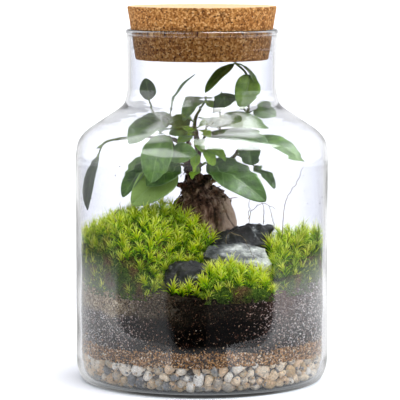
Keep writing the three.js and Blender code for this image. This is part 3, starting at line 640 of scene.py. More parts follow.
def pottingSoil():
    # damp peat with bark, sand and perlite: near black, with lighter crumbs and pale specks
    material, tree, shader = newMaterial("damp potting soil", {"Roughness": 0.9, "Specular IOR Level": 0.08})
    place3d = add(tree, "TexCoord").outputs["Object"]
    names = ("tint", "dry", "rust", "rootMat")
    tint, dry, rust, mat = (add(tree, "Attribute", attribute_name=key).outputs["Fac"] for key in names)
    tone = add(tree, "ValToRGB", tint, stops=[
        (0.0, "#010100"), (0.5, "#050302"), (0.72, "#150c07"), (0.88, "#3f291c"), (0.96, "#7a5d44"),
        (0.99, "#b9a488"), (1.0, "#e9e1d4"),
    ])
    fine = add(tree, "TexNoise", place3d, perSize(1.2), 5, 0.75)
    grain = add(tree, "MapRange", fine, 0.32, 0.68, 0.4, 1.7)
    toned = add(tree, "VectorMath", tone, grain, operation="MULTIPLY")
    # sand and bark dust in the peat: grains 0.75 mm across, a little coarser than they are so that they show.
    # More of them are pale at the left and right sides, as painted light, and they are browner in the middle,
    # as painted shade
    sand = add(tree, "TexVoronoi", place3d, perSize(0.75))
    chance, shade, _ = add(tree, "SeparateColor", sand.outputs["Color"]).outputs
    driven = add(tree, "Math", dry, 0.42, chance, operation="MULTIPLY_ADD")
    sandTone = add(tree, "ValToRGB", driven, stops=[
        (0.0, 0.0), (0.8, 0.0), (0.88, 0.08), (1.0, 0.34), (1.08, 1.0),
    ])
    grainTone = add(tree, "ValToRGB", shade, stops=[
        (0.0, "#1a0e08"), (0.35, "#3e2b26"), (0.56, "#8d7066"), (0.7, "#e6d6cf"), (1.0, "#ffffff"),
    ])
    sideLightTint = add(tree, "Mix", dry, "#b98a6c", "#ffffff", data_type="RGBA")
    grainColour = add(tree, "VectorMath", grainTone, sideLightTint, operation="MULTIPLY")
    dusted = add(tree, "Mix", sandTone, toned, grainColour, data_type="RGBA")
    reddened = add(tree, "Mix", rust, dusted, "#5d3123", data_type="RGBA")
    # old roots and dead moss make the top of the soil paler
    fibre = add(tree, "TexNoise", place3d, perSize(3.4), 6, 0.75, named={"Distortion": 2.5})
    fibreTone = add(tree, "ValToRGB", fibre, stops=[
        (0.4, "#120b06"), (0.46, "#644c32"), (0.52, "#b89c70"), (0.59, "#fbeed0"),
    ])
    colour = add(tree, "Mix", mat, reddened, fibreTone, data_type="RGBA")
    bump = add(tree, "Bump", named={"Height": fine, "Strength": 0.8, "Distance": 0.0008})
    connect(tree, shader, {"Base Color": colour, "Normal": bump})
    return material


def rootMatAt(x, y, z):
    # strong under the left cushion, weak elsewhere
    depth = soilTopAt(x, y) - z
    left = 0.2 * smoothStep(-10, -36, x) + 0.8 * smoothStep(-44, -68, x)
    p = np.stack([x, y, z], -1)
    edge = 23 + 7 * softNoise(p, 12, 8) + 4 * softNoise(p, 5, 9)
    return (0.03 + 0.92 * left) * (1 - smoothStep(0.5 * edge, edge, depth))


def makeSoil():
    roll = np.random.default_rng(soil["seed"])
    sides, wallRows, rings = 400, 26, 44
    angles = np.linspace(0, 2 * math.pi, sides, endpoint=False)
    heap = Heap()
    points = []
    for k in range(wallRows):
        t = k / (wallRows - 1)
        x, y = soil["radius"] * np.cos(angles), soil["radius"] * np.sin(angles)
        low, high = raggedGritTop(x, y) - 0.4, soilTopAt(x, y)
        points += np.stack([x, y, low + (high - low) * t], 1).tolist()
    for k in range(1, rings):
        r = soil["radius"] * (1 - k / rings)
        for a in angles:
            x, y = r * math.cos(a), r * math.sin(a)
            points.append((x, y, soilTopAt(x, y)))
    rows = wallRows + rings - 1
    faces = ringFaces(rows, sides) + [tuple(range(sides))[::-1]]
    points.append((0, 0, float(soilTopAt(0.0, 0.0))))
    last = (rows - 1) * sides
    faces += [(last + i, last + (i + 1) % sides, len(points) - 1) for i in range(sides)]
    points = np.array(points)
    onWall = np.arange(len(points)) < wallRows * sides
    lumps, crumbs, fine = softNoise(points, 5, 1), softNoise(points, 2.2, 7), softNoise(points, 1.1, 8)
    crumble = 0.6 * lumps + 0.5 * crumbs + 0.25 * fine
    r = np.hypot(points[:, 0], points[:, 1])
    points[onWall, :2] *= (1 + np.minimum(0.9 * crumble, 0.6)[onWall] / r[onWall])[:, None]
    points[~onWall, 2] += 1.1 * crumble[~onWall]
    heap.put(points, faces, tint=0.2 + 0.12 * softNoise(points, 4, 3))
    for where, count in (("wall", soil["wallCrumbs"]), ("top", soil["topCrumbs"])):
        angle = roll.uniform(0, 2 * math.pi, count)
        rare = roll.random(count) > 0.975
        size = 0.3 + 0.42 * roll.random(count) ** 2 + 0.8 * rare
        if where == "wall":
            r = soil["crumbsTo"] - size * 0.95
            x, y = r * np.cos(angle), r * np.sin(angle)
            low = raggedGritTop(x, y)
            z = low + (soilTopAt(x, y) - low) * roll.random(count) ** 0.95
        else:
            r = 92.5 * np.sqrt(roll.random(count))
            x, y = r * np.cos(angle), r * np.sin(angle)
            z = soilTopAt(x, y) + 0.4 * size
            size = size * 1.5
        tints = roll.random(count) ** 1.8 * np.where(rare, 0.85, 1)
        scatterGrains(heap, np.stack([x, y, z], 1), size, tints, roll, 0.6)
    points = heap.allPoints()
    values = heap.allValues()
    values["rootMat"] = rootMatAt(points[:, 0], points[:, 1], points[:, 2])
    # the value called dry is painted light: it makes the soil paler towards the left and right sides
    values["dry"] = smoothStep(16, 80, np.abs(points[:, 0]))
    values["rust"] = 0.7 * np.exp(-(np.linalg.norm(points - soil["rust"], axis=1) / 14) ** 2)
    place("soil_crumbs", points, heap.faces, [pottingSoil()], ["soil_bed"], values=values)


makeSoil()

# Slate: split and weathered. The pieces start from the frame's solids, which are broken into thin layers,
# chipped and softened at the edges.


def remeshed(node, voxel, smoothing):
    # a copy of a solid of the frame with small even faces, in millimetres
    copy = bpy.data.objects.new("cut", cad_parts[node].data.copy())
    bpy.context.scene.collection.objects.link(copy)
    grid = copy.modifiers.new("grid", "REMESH")
    grid.mode = "VOXEL"
    grid.voxel_size = voxel * 0.001
    soften = copy.modifiers.new("soften", "SMOOTH")
    soften.iterations = smoothing
    mesh = bpy.data.meshes.new_from_object(copy.evaluated_get(bpy.context.evaluated_depsgraph_get()))
    points = np.empty(len(mesh.vertices) * 3, np.float32)
    mesh.vertices.foreach_get("co", points)
    normals = np.empty(len(mesh.vertices) * 3, np.float32)
    mesh.vertex_normals.foreach_get("vector", normals)
    faces = [tuple(p.vertices) for p in mesh.polygons]
    bpy.data.objects.remove(copy)
    bpy.data.meshes.remove(mesh)
    return points.reshape(-1, 3).astype(float) * 1000, normals.reshape(-1, 3).astype(float), faces


def splitSlate(name, tones, sheen):
    material, tree, shader = newMaterial(name, {"Roughness": sheen})
    place3d = add(tree, "TexCoord").outputs["Object"]
    # layers lie a little tilted, and are thin against their width
    tilt = add(tree, "Mapping", place3d, named={"Rotation": (0.25, -0.12, 0.0), "Scale": (1, 1, 2.6)})
    layers = add(tree, "TexNoise", tilt, perSize(9), 7, 0.65)
    patches = add(tree, "TexNoise", place3d, perSize(11), 5, 0.6)
    both = add(tree, "Mix", 0.72, layers, patches, data_type="FLOAT")
    lift = add(tree, "Attribute", attribute_name="edge").outputs["Fac"]
    lifted = add(tree, "Math", both, lift, operation="ADD")
    tone = add(tree, "ValToRGB", lifted, stops=tones)
    dust = add(tree, "TexNoise", place3d, perSize(1.0), 4, 0.8)
    dots = add(tree, "MapRange", dust, 0.3, 0.7, 0.75, 1.3)
    colour = add(tree, "VectorMath", tone, dots, operation="MULTIPLY")
    rough = add(tree, "MapRange", patches, 0.35, 0.65, sheen - 0.12, sheen + 0.2)
    height = add(tree, "Math", layers, dust, operation="ADD")
    bump = add(tree, "Bump", named={"Height": height, "Strength": 0.5, "Distance": 0.0009})
    connect(tree, shader, {"Base Color": colour, "Roughness": rough, "Normal": bump})
    return material


# dust: how much the tops are lightened, partly real dust and partly painted highlight, and how much the
# slab's tone slopes across it
stones = dict(
    slate_ridge=dict(voxel=0.62, layer=7, tilt=(0.9, 0.25, 0.6), step=1.4, lumps=2.2,
                     dust=(0.06, 0.0), slot="dark_slate", seed=3),
    slate_slab=dict(voxel=0.62, layer=4, tilt=(-0.2, 0.35, 1), step=0.7, lumps=1.2,
                    dust=(0.0, 0.12), slot="pale_slate", seed=5),
    slate_front=dict(voxel=0.6, layer=6, tilt=(0.1, 0.5, 1), step=0.5, lumps=1.1,
                     dust=(0.0, 0.0), slot="dark_slate", seed=8),
)


def makeStones():
    charcoal = [(0.46, "#020203"), (0.52, "#08090a"), (0.57, "#1f2123"), (0.62, "#65686b"), (0.68, "#c8c9c7")]
    weathered = [(0.34, "#26282a"), (0.42, "#5c5e5e"), (0.5, "#8f908e"), (0.57, "#c2c3be"), (0.66, "#f1f1ed")]
    materials = {
        "dark_slate": splitSlate("split charcoal slate", charcoal, 0.5),
        "pale_slate": splitSlate("weathered pale slate", weathered, 0.6),
    }
    for node, s in stones.items():
        points, normals, faces = remeshed(node, s["voxel"], smoothing=3)
        axis = np.array(s["tilt"]) / np.linalg.norm(s["tilt"])
        along = points @ axis / s["layer"] + 0.7 * softNoise(points, 14, s["seed"])
        saw = along - np.floor(along)
        side = 1 - np.abs(normals @ axis)
        chip = softNoise(points, 9, s["seed"] + 1, 3)
        shift = s["step"] * (saw ** 2 - 0.75) * side + s["lumps"] * (np.abs(chip) - 0.55) - 0.15
        shift += 0.3 * softNoise(points, 2.4, s["seed"] + 2, 3)
        made = points + normals * shift[:, None]
        # broken rims and tops are lighter, partly real dust and paler split rock and partly painted highlight
        # from the light above, and the slab darkens towards the trunk
        top, slope = s["dust"]
        edge = 0.1 * smoothStep(0.86, 1, saw) * side + top * smoothStep(0.35, 0.9, normals[:, 2] + 0.3 * chip)
        edge += slope * (smoothStep(0, 42, points[:, 0]) - 0.75) - 0.02
        place(node + "_split", made, faces, [materials[s["slot"]]], [node], values={"edge": edge})


makeStones()

# Fig root and trunks: grey-brown bark, wrinkled, with root folds that run down the swollen base.

trunk = dict(voxel=0.72, folds=0.9, wrinkles=0.5, collar=(141, 166), crumbs=520, fibres=70, seed=41)


def figBark():
    material, tree, shader = newMaterial("fig bark", {"Roughness": 0.8, "Specular IOR Level": 0.15})
    place3d = add(tree, "TexCoord").outputs["Object"]
    drawn = add(tree, "Mapping", place3d, named={"Scale": (1, 1, 0.35)})
    ridges = add(tree, "TexNoise", drawn, perSize(3.2), 7, 0.7, named={"Distortion": 0.6})
    clouds = add(tree, "TexNoise", place3d, perSize(12), 4, 0.6)
    both = add(tree, "Mix", 0.5, ridges, clouds, data_type="FLOAT")
    tone = add(tree, "ValToRGB", both, stops=[
        (0.37, "#160d08"), (0.445, "#40291c"), (0.505, "#6f5342"), (0.565, "#a28470"), (0.645, "#d2bca9"),
    ])
    # painted shade: the folds' valleys and knot hollows are painted near black; crumbs and fibres take the
    # same value as their own darker tone
    deep = add(tree, "Attribute", attribute_name="hollow").outputs["Fac"]
    shaded = add(tree, "Mix", deep, tone, "#150b06", data_type="RGBA")
    # painted light: the bare skin at the right is painted paler where it faces the light
    bare = add(tree, "Attribute", attribute_name="bare").outputs["Fac"]
    paler = add(tree, "Mix", bare, shaded, "#c4ab97", data_type="RGBA")
    # rust-brown patches where the skin has peeled
    peel = add(tree, "TexNoise", place3d, perSize(7), 3)
    peeled = add(tree, "MapRange", peel, 0.58, 0.7, 0, 0.6)
    colour = add(tree, "Mix", peeled, paler, "#6b3a1e", data_type="RGBA")
    bump = add(tree, "Bump", named={"Height": ridges, "Strength": 0.9, "Distance": 0.0012})
    connect(tree, shader, {"Base Color": colour, "Normal": bump})
    return material


def makeTrunk():
    points, normals, faces = remeshed("ficus_trunk", trunk["voxel"], smoothing=4)
    angle = np.arctan2(points[:, 1] - 1, points[:, 0] - 2)
    height = points[:, 2]
    low = 1 - smoothStep(146, 158, height)
    swirl = angle * 4 + height / 16 + 1.2 * softNoise(points, 16, 2)
    fold = np.abs(np.sin(swirl)) ** 0.7
    knots = softNoise(points, 6, trunk["seed"], 3)
    fine = softNoise(points * (1, 1, 0.5), 1.9, 5, 2)
    upper = smoothStep(134, 150, height)
    wrinkles = trunk["wrinkles"] * (0.7 + 1.3 * upper * low) * knots
    shift = trunk["folds"] * (fold - 0.85) * low + wrinkles + 0.4 * fine - 0.1
    # painted shade in the folds' valleys and the knots' hollows
    hollow = 0.75 * (1 - smoothStep(0.1, 0.45, fold)) * low + 0.5 * smoothStep(0.15, 0.7, -knots) * upper
    hollow = hollow.clip(0, 0.9)
    made = points + normals * shift[:, None]
    heap = Heap()
    heap.put(made, faces, hollow=hollow)
    # dried soil and torn root fibres cling to the neck of the root
    roll = np.random.default_rng(trunk["seed"])
    low, high = trunk["collar"]
    weight = smoothStep(low - 9, low + 4, height) * (1 - smoothStep(high, high + 6, height)) + 0.02
    spots = roll.choice(len(made), trunk["crumbs"], p=weight / weight.sum())
    size = 0.5 + 1.1 * roll.random(trunk["crumbs"]) ** 2
    ball, ballFaces = ballShape(1)
    corners = (1 + 0.3 * roll.standard_normal((len(spots), len(ball), 1))).clip(0.5, 1.5)
    shapes = ball[None] * corners * size[:, None, None]
    heap.putCopies(made[spots][:, None] + shapes, ballFaces, hollow=roll.uniform(0.2, 1, len(spots)))
    for i in roll.choice(len(made), trunk["fibres"], p=weight / weight.sum()):
        start, out = made[i], normals[i]
        out = out + (0, 0, -0.5) + roll.normal(0, 0.45, 3)
        reach = roll.uniform(2, 5.5)
        middle = start + out * reach * 0.5 + roll.normal(0, 0.5, 3)
        fibre = [start - normals[i], middle, start + out * reach + (0, 0, -0.8)]
        points, fibreFaces, _ = stemShape(fibre, [0.5, 0.32, 0.14], 5, 4)
        heap.put(points, fibreFaces, hollow=roll.uniform(0.2, 0.9))
    points, values = heap.allPoints(), heap.allValues()
    # the skin is bare at the right, below the neck, and painted paler there as painted light
    right, below = smoothStep(10, 24, points[:, 0]), smoothStep(150, 140, points[:, 2])
    values["bare"] = 0.95 * right * (1 - values["hollow"]) * below
    place("ficus_trunk_bark", points, heap.faces, [figBark()], ["ficus_trunk"], values=values)


makeTrunk()

# Moss: four cushions of star shoots. A dark, dense bed carries them, and each shoot is a spiral of narrow
# curved blades that open upwards.

# reach: how far a cushion goes from its peak, all round from +X. fresh makes it yellower, brown gives old
# patches with their sizes, and extra gives single shoots beside it
cushions = {
    "moss_mound_left": dict(
        peak=(-28, -17, 130.5), reach=[50, 40, 44, 50, 60, 80, 100, 106, 107, 104, 96, 90, 52, 41, 44, 56],
        edge=74, power=1, seed=31, fresh=0.03, brown=[(-76, -52, 103, 13), (-60, -70, 82, 12)],
        extra=[(1, -24, 114), (-3, -26, 112), (-10, -82, 80), (-15, -84, 79), (-22, -84, 78)],
    ),
    "moss_mound_right": dict(
        peak=(69, -12, 110), reach=[60, 64, 62, 36, 27, 38, 62, 70], edge=75, power=0.7, seed=32, fresh=-0.2,
        brown=[(76, -44, 96, 9)], extra=[],
    ),
    "moss_mound_front": dict(
        peak=(19, -66, 91.5), reach=[36, 26, 12, 14, 20, 31, 40, 40], edge=73, power=0.65, seed=33,
        fresh=0.06, brown=[], extra=[(44, -72, 82)],
    ),
    "moss_mound_back": dict(
        peak=(8, 56, 99), reach=[42, 66, 60, 66, 42, 24, 22, 26], edge=74, power=0.8, seed=34, fresh=-0.02,
        brown=[], extra=[],
    ),
}
# star shoots stand out in the light, and low ones fill the shade between them; the low ones' tint paints them
# with the darker palette, as painted shade
mossShoots = dict(
    star=dict(blades=24, length=(14, 19), width=0.27, spacing=7.6, sink=5.0, most=900, tint=(-0.04, 0.5)),
    low=dict(blades=10, length=(7, 10), width=0.24, spacing=4.0, sink=5.6, most=1100, tint=(0.88, 0.3)),
)
# distances from the axis, where a cushion meets the glass: its bed's end, its blades' end and its shoots
moss = dict(bedTo=93.2, bladesTo=93.7, wall=90.2, thickness=0.2, tries=14000, sides=150, rings=34)


def mossLeaf():
    # live moss: translucent yellow-green tips over dark old leaves; the near black at the blades' bases is
    # partly painted shade
    material, tree, shader = newMaterial("star moss leaves", {
        "Roughness": 0.55, "Specular IOR Level": 0.15,
    })
    names = ("along", "tint", "old")
    along, tint, old = (add(tree, "Attribute", attribute_name=key).outputs["Fac"] for key in names)
    fresh = add(tree, "ValToRGB", along, stops=[
        (0.0, "#0d1a03"), (0.16, "#528803"), (0.3, "#b6f203"), (0.5, "#f4ff1e"), (1.0, "#fcff86"),
    ])
    # painted shade: deep is the moss's green painted darker, for shoots that the tint puts in shade
    deep = add(tree, "ValToRGB", along, stops=[
        (0.0, "#040801"), (0.25, "#183205"), (0.5, "#5a9c0e"), (1.0, "#c8f04a"),
    ])
    green = add(tree, "Mix", tint, fresh, deep, data_type="RGBA")
    dead = add(tree, "ValToRGB", along, stops=[(0.0, "#2a1a0c"), (0.5, "#6e4c24"), (1.0, "#b09352")])
    colour = add(tree, "Mix", old, green, dead, data_type="RGBA")
    connect(tree, shader, {"Base Color": colour})
    return material


def mossBed():
    material, tree, shader = newMaterial("dense old moss", {"Roughness": 0.9, "Specular IOR Level": 0.08})
    place3d = add(tree, "TexCoord").outputs["Object"]
    threads = add(tree, "TexNoise", place3d, perSize(1.6), 6, 0.8, named={"Distortion": 1.5})
    patch = add(tree, "TexNoise", place3d, perSize(14), 3)
    green = add(tree, "ValToRGB", threads, stops=[(0.34, "#0d1405"), (0.5, "#3a5416"), (0.64, "#86a83a")])
    brown = add(tree, "ValToRGB", threads, stops=[(0.34, "#160e07"), (0.5, "#5c4426"), (0.66, "#b39763")])
    share = add(tree, "MapRange", patch, 0.5, 0.66)
    colour = add(tree, "Mix", share, green, brown, data_type="RGBA")
    bump = add(tree, "Bump", named={"Height": threads, "Strength": 1.0, "Distance": 0.0015})
    connect(tree, shader, {"Base Color": colour, "Normal": bump})
    return material


def reachAt(reach, angle):
    count = len(reach)
    at = (np.asarray(angle) / (2 * math.pi) * count) % count
    i = np.floor(at).astype(int)
    t = at - i
    s = t * t * (3 - 2 * t)
    reach = np.array(reach, float)
    return reach[i % count] * (1 - s) + reach[(i + 1) % count] * s


def cushionHeightAt(c, x, y):
    # height of the cushion's surface, and below its edge where there is none
    dx, dy = x - c["peak"][0], y - c["peak"][1]
    share = np.hypot(dx, dy) / reachAt(c["reach"], np.arctan2(dy, dx))
    z = c["edge"] + (c["peak"][2] - c["edge"]) * np.clip(1 - share ** 2, 0, 1) ** c["power"]
    lumps = softNoise(np.stack([x, y, 0 * x], -1), 9, c["seed"])
    wave = 1.3 * uneven(2.2 * x, 2.2 * y, c["seed"]) + 1.2 * lumps
    return np.where(share < 1, z + (1 - share) * wave, -1), share


def starShoots(spots, leans, sizes, blades, width, roll):
    # upright shoots, as (copies, points, 3): narrow three-sided blades spiral up a stem, the low ones
    # spreading and the top ones upright. Also gives the faces and, for each point, how near the shoot's tip
    # it is, raised on the upper blades so that they are painted lighter: painted light
    count = len(spots)
    helper = np.where(np.abs(leans[:, 2:]) < 0.9, (0, 0, 1), (1, 0, 0))
    side = unit(np.cross(leans, helper))
    other = np.cross(leans, side)
    turn = roll.uniform(0, 2 * math.pi, count)
    shapes, along, faces = [], [], []
    for b in range(blades):
        up = b / (blades - 1)
        a = turn + 2.4 * b + roll.uniform(-0.3, 0.3, count)
        out = side * np.cos(a)[:, None] + other * np.sin(a)[:, None]
        spread = np.radians(48 - 32 * up + roll.uniform(-11, 11, count))
        length = sizes * (0.5 + 0.22 * roll.random(count))
        start = spots + leans * (sizes * 0.5 * up)[:, None]
        wide = width * (0.85 + 0.3 * roll.random(count))
        flat = np.cross(leans, out)
        ring = []
        for t in (0, 0.55):
            bend = spread * (0.6 + 0.6 * t)
            path = out * (np.sin(bend) * length * t)[:, None] + leans * (np.cos(bend) * length * t)[:, None]
            across = flat * (wide * (1 - 0.35 * t))[:, None]
            thick = (leans * np.sin(bend)[:, None] - out * np.cos(bend)[:, None]) * moss["thickness"]
            ring += [start + path + across, start + path - across, start + path + 2 * thick]
        bend = spread * 1.25
        ring.append(start + out * (np.sin(bend) * length)[:, None] + leans * (np.cos(bend) * length)[:, None])
        shapes.append(np.stack(ring, 1))
        # painted light: the upper blades are counted nearer the tip, so they are painted lighter
        lit = np.array([0.5 * up] * 3 + [0.25 + 0.5 * up] * 3 + [0.5 + 0.5 * up])
        along.append((lit + roll.normal(0, 0.11, (count, 1))).clip(0, 1))
        o = b * 7
        for i in range(3):
            j = (i + 1) % 3
            faces += [(o + i, o + j, o + 3 + j, o + 3 + i), (o + 3 + i, o + 3 + j, o + 6)]
        faces.append((o + 2, o + 1, o))
    return np.concatenate(shapes, 1), faces, np.concatenate(along, 1)


def cushionPlaces(c, roll):
    # places on a cushion, with the way a shoot leans there and how near the cushion's edge it is
    tries, step, wall = moss["tries"], 0.7, moss["wall"]
    turn = roll.uniform(0, 2 * math.pi, tries)
    share = np.sqrt(roll.random(tries)) * 0.985
    r = reachAt(c["reach"], turn) * share
    x, y = c["peak"][0] + r * np.cos(turn), c["peak"][1] + r * np.sin(turn)
    inside = np.hypot(x, y) < 91.5
    x, y, share = x[inside], y[inside], share[inside]
    z = cushionHeightAt(c, x, y)[0]
    slopeX = (cushionHeightAt(c, x + step, y)[0] - cushionHeightAt(c, x - step, y)[0]) / (2 * step)
    slopeY = (cushionHeightAt(c, x, y + step)[0] - cushionHeightAt(c, x, y - step)[0]) / (2 * step)
    normal = unit(np.stack([-slopeX, -slopeY, np.ones(len(x))], 1))
    lean = normal * 0.4 + (0, 0, 0.85) + roll.normal(0, 0.2, normal.shape)
    # where the cushion meets the glass it stands up as a wall
    turn = roll.uniform(0, 2 * math.pi, tries)
    wallX, wallY = wall * np.cos(turn), wall * np.sin(turn)
    over, out = cushionHeightAt(c, wallX, wallY)
    ground = np.minimum(soilTopAt(wallX, wallY), 80) - 3
    wallZ = ground + (over - ground) * roll.random(tries)
    pushed = aboutAxis(0.35, turn, np.full(tries, 0.85)) + roll.normal(0, 0.25, (tries, 3))
    standing = (over > ground + 3) & (out < 1)
    spots = np.vstack([np.stack([x, y, z], 1), np.stack([wallX, wallY, wallZ], 1)[standing]])
    leans = unit(np.vstack([lean, pushed[standing]]))
    depth = np.concatenate([np.zeros(len(x)), ((over - wallZ) / np.maximum(over - ground, 1))[standing]])
    order = roll.permutation(len(spots))
    return spots[order], leans[order], np.concatenate([share, out[standing]])[order], depth[order]


def makeMoss():
    leafGreen, bedGreen = mossLeaf(), mossBed()
    solids = []
    for node in ("slate_ridge", "slate_slab", "slate_front", "ficus_trunk"):
        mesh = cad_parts[node].data
        corners, sides = [v.co * 1000 for v in mesh.vertices], [tuple(p.vertices) for p in mesh.polygons]
        solids.append(BVHTree.FromPolygons(corners, sides))

    def inStone(p, room):
        for tree in solids:
            near, normal, _, distance = tree.find_nearest(Vector(p))
            if distance < room or (Vector(p) - near).dot(normal) < 0:
                return True
        return False

    for name, c in cushions.items():
        roll = np.random.default_rng(c["seed"])
        # the bed: rings from the peak out to the cushion's edge or the glass
        sides, rings = moss["sides"], moss["rings"]
        points = []
        for k in range(rings + 1):
            for i in range(sides):
                a = 2 * math.pi * i / sides
                reach = float(reachAt(c["reach"], a)) * 0.985
                px, py = c["peak"][0], c["peak"][1]
                along = px * math.cos(a) + py * math.sin(a)
                wall = -along + math.sqrt(max(along ** 2 - px ** 2 - py ** 2 + moss["bedTo"] ** 2, 0))
                r = min(reach, wall) * k / rings
                points.append((px + r * math.cos(a), py + r * math.sin(a), 0))
        points = np.array(points, float)
        points[:, 2] = cushionHeightAt(c, points[:, 0], points[:, 1])[0]
        points[:, 2] = np.maximum(points[:, 2], c["edge"] + 1)
        points[:, 2] += 1.0 * softNoise(points, 3.2, c["seed"], 2) - 3.6
        skirt = points[-sides:].copy()
        skirt[:, 2] = c["edge"] - 2
        points = np.vstack([points, skirt])
        faces = [face[:1] + face[:0:-1] for face in ringFaces(rings + 2, sides)]
        faces.append(tuple(range(len(points) - sides, len(points)))[::-1])
        place(name + "_bed", points, faces, [bedGreen], ())
        spots, leans, shares, depths = cushionPlaces(c, roll)
        heap = Heap()
        for kind, k in mossShoots.items():
            kept = []
            for i in range(len(spots)):
                if kept and np.min(np.linalg.norm(spots[kept] - spots[i], axis=1)) < k["spacing"]:
                    continue
                if len(kept) < k["most"] and not inStone(spots[i] + leans[i] * 3, 1.2):
                    kept.append(i)
            places, ways, share, depth = spots[kept], leans[kept], shares[kept], depths[kept]
            if kind == "star" and c["extra"]:
                more = len(c["extra"])
                places = np.vstack([places, c["extra"]])
                ways = np.vstack([ways, np.tile((0.1, -0.3, 0.95), (more, 1))])
                share, depth = (np.concatenate([v, np.full(more, 0.5)]) for v in (share, 0 * depth))
            print(f"terrarium: {len(places)} {kind} shoots on {name}")
            # the cushion is lumpy: some clumps stand higher and catch more light, and they are painted
            # brighter as well, as painted light
            clump = softNoise(places, 12, c["seed"] + 3, 2)
            tall = smoothStep(0.4, 0.65, roll.random(len(places)))
            lift = 1.4 * clump + 2.6 * tall - k["sink"]
            places = places + ways * lift[:, None]
            sizes = roll.uniform(*k["length"], len(places)) * (1.06 - 0.2 * share) * (1 - 0.25 * depth)
            shapes, faces, along = starShoots(places, ways, sizes, k["blades"], k["width"], roll)
            # blades that would pass the glass are drawn back inside
            heldInside(shapes, moss["bladesTo"])
            # painted light and shade: tall and high shoots take the bright palette and the rest the darker
            # one, and shoots deep in the wall, which stand in shade, are painted brighter
            middle, wide = k["tint"]
            tint = middle + 0.34 * (1 - tall) - wide * clump - c["fresh"] - 0.3 * depth
            tint = (tint + roll.normal(0, 0.1, len(places))).clip(0, 1)
            old = 0.5 * smoothStep(0.8, 1.0, share) + 0.55 * smoothStep(0.5, 1.0, depth)
            old = old * roll.random(len(places))
            for *patch, size in c["brown"]:
                near = np.exp(-(np.linalg.norm(places - patch, axis=1) / size) ** 2)
                old = old + 0.9 * near * roll.random(len(places)) ** 0.4
            heap.putCopies(shapes, faces, along=along, tint=tint, old=old.clip(0, 0.92))
        placeHeap(name + "_shoots", heap, leafGreen, [name])


makeMoss()

# Fig leaves: waxy, with a pale midrib and side veins. Each shoot is a twig with its stalks and leaves.

usualArch, usualFold = 0.1, 0.18
leafDetail = dict(rows=54, columns=15, thickness=0.5, rim=0.16, veins=8, margin=0.35, underBlade=0.14,
                  stalk=(0.85, 0.62, 0.6, 0.35))


def leaf(start, base, tip, width, face, **other):
    # the stalk's start, the blade's base and tip, its width and which way it faces
    return dict(start=start, base=base, tip=tip, width=width, face=face, **other)
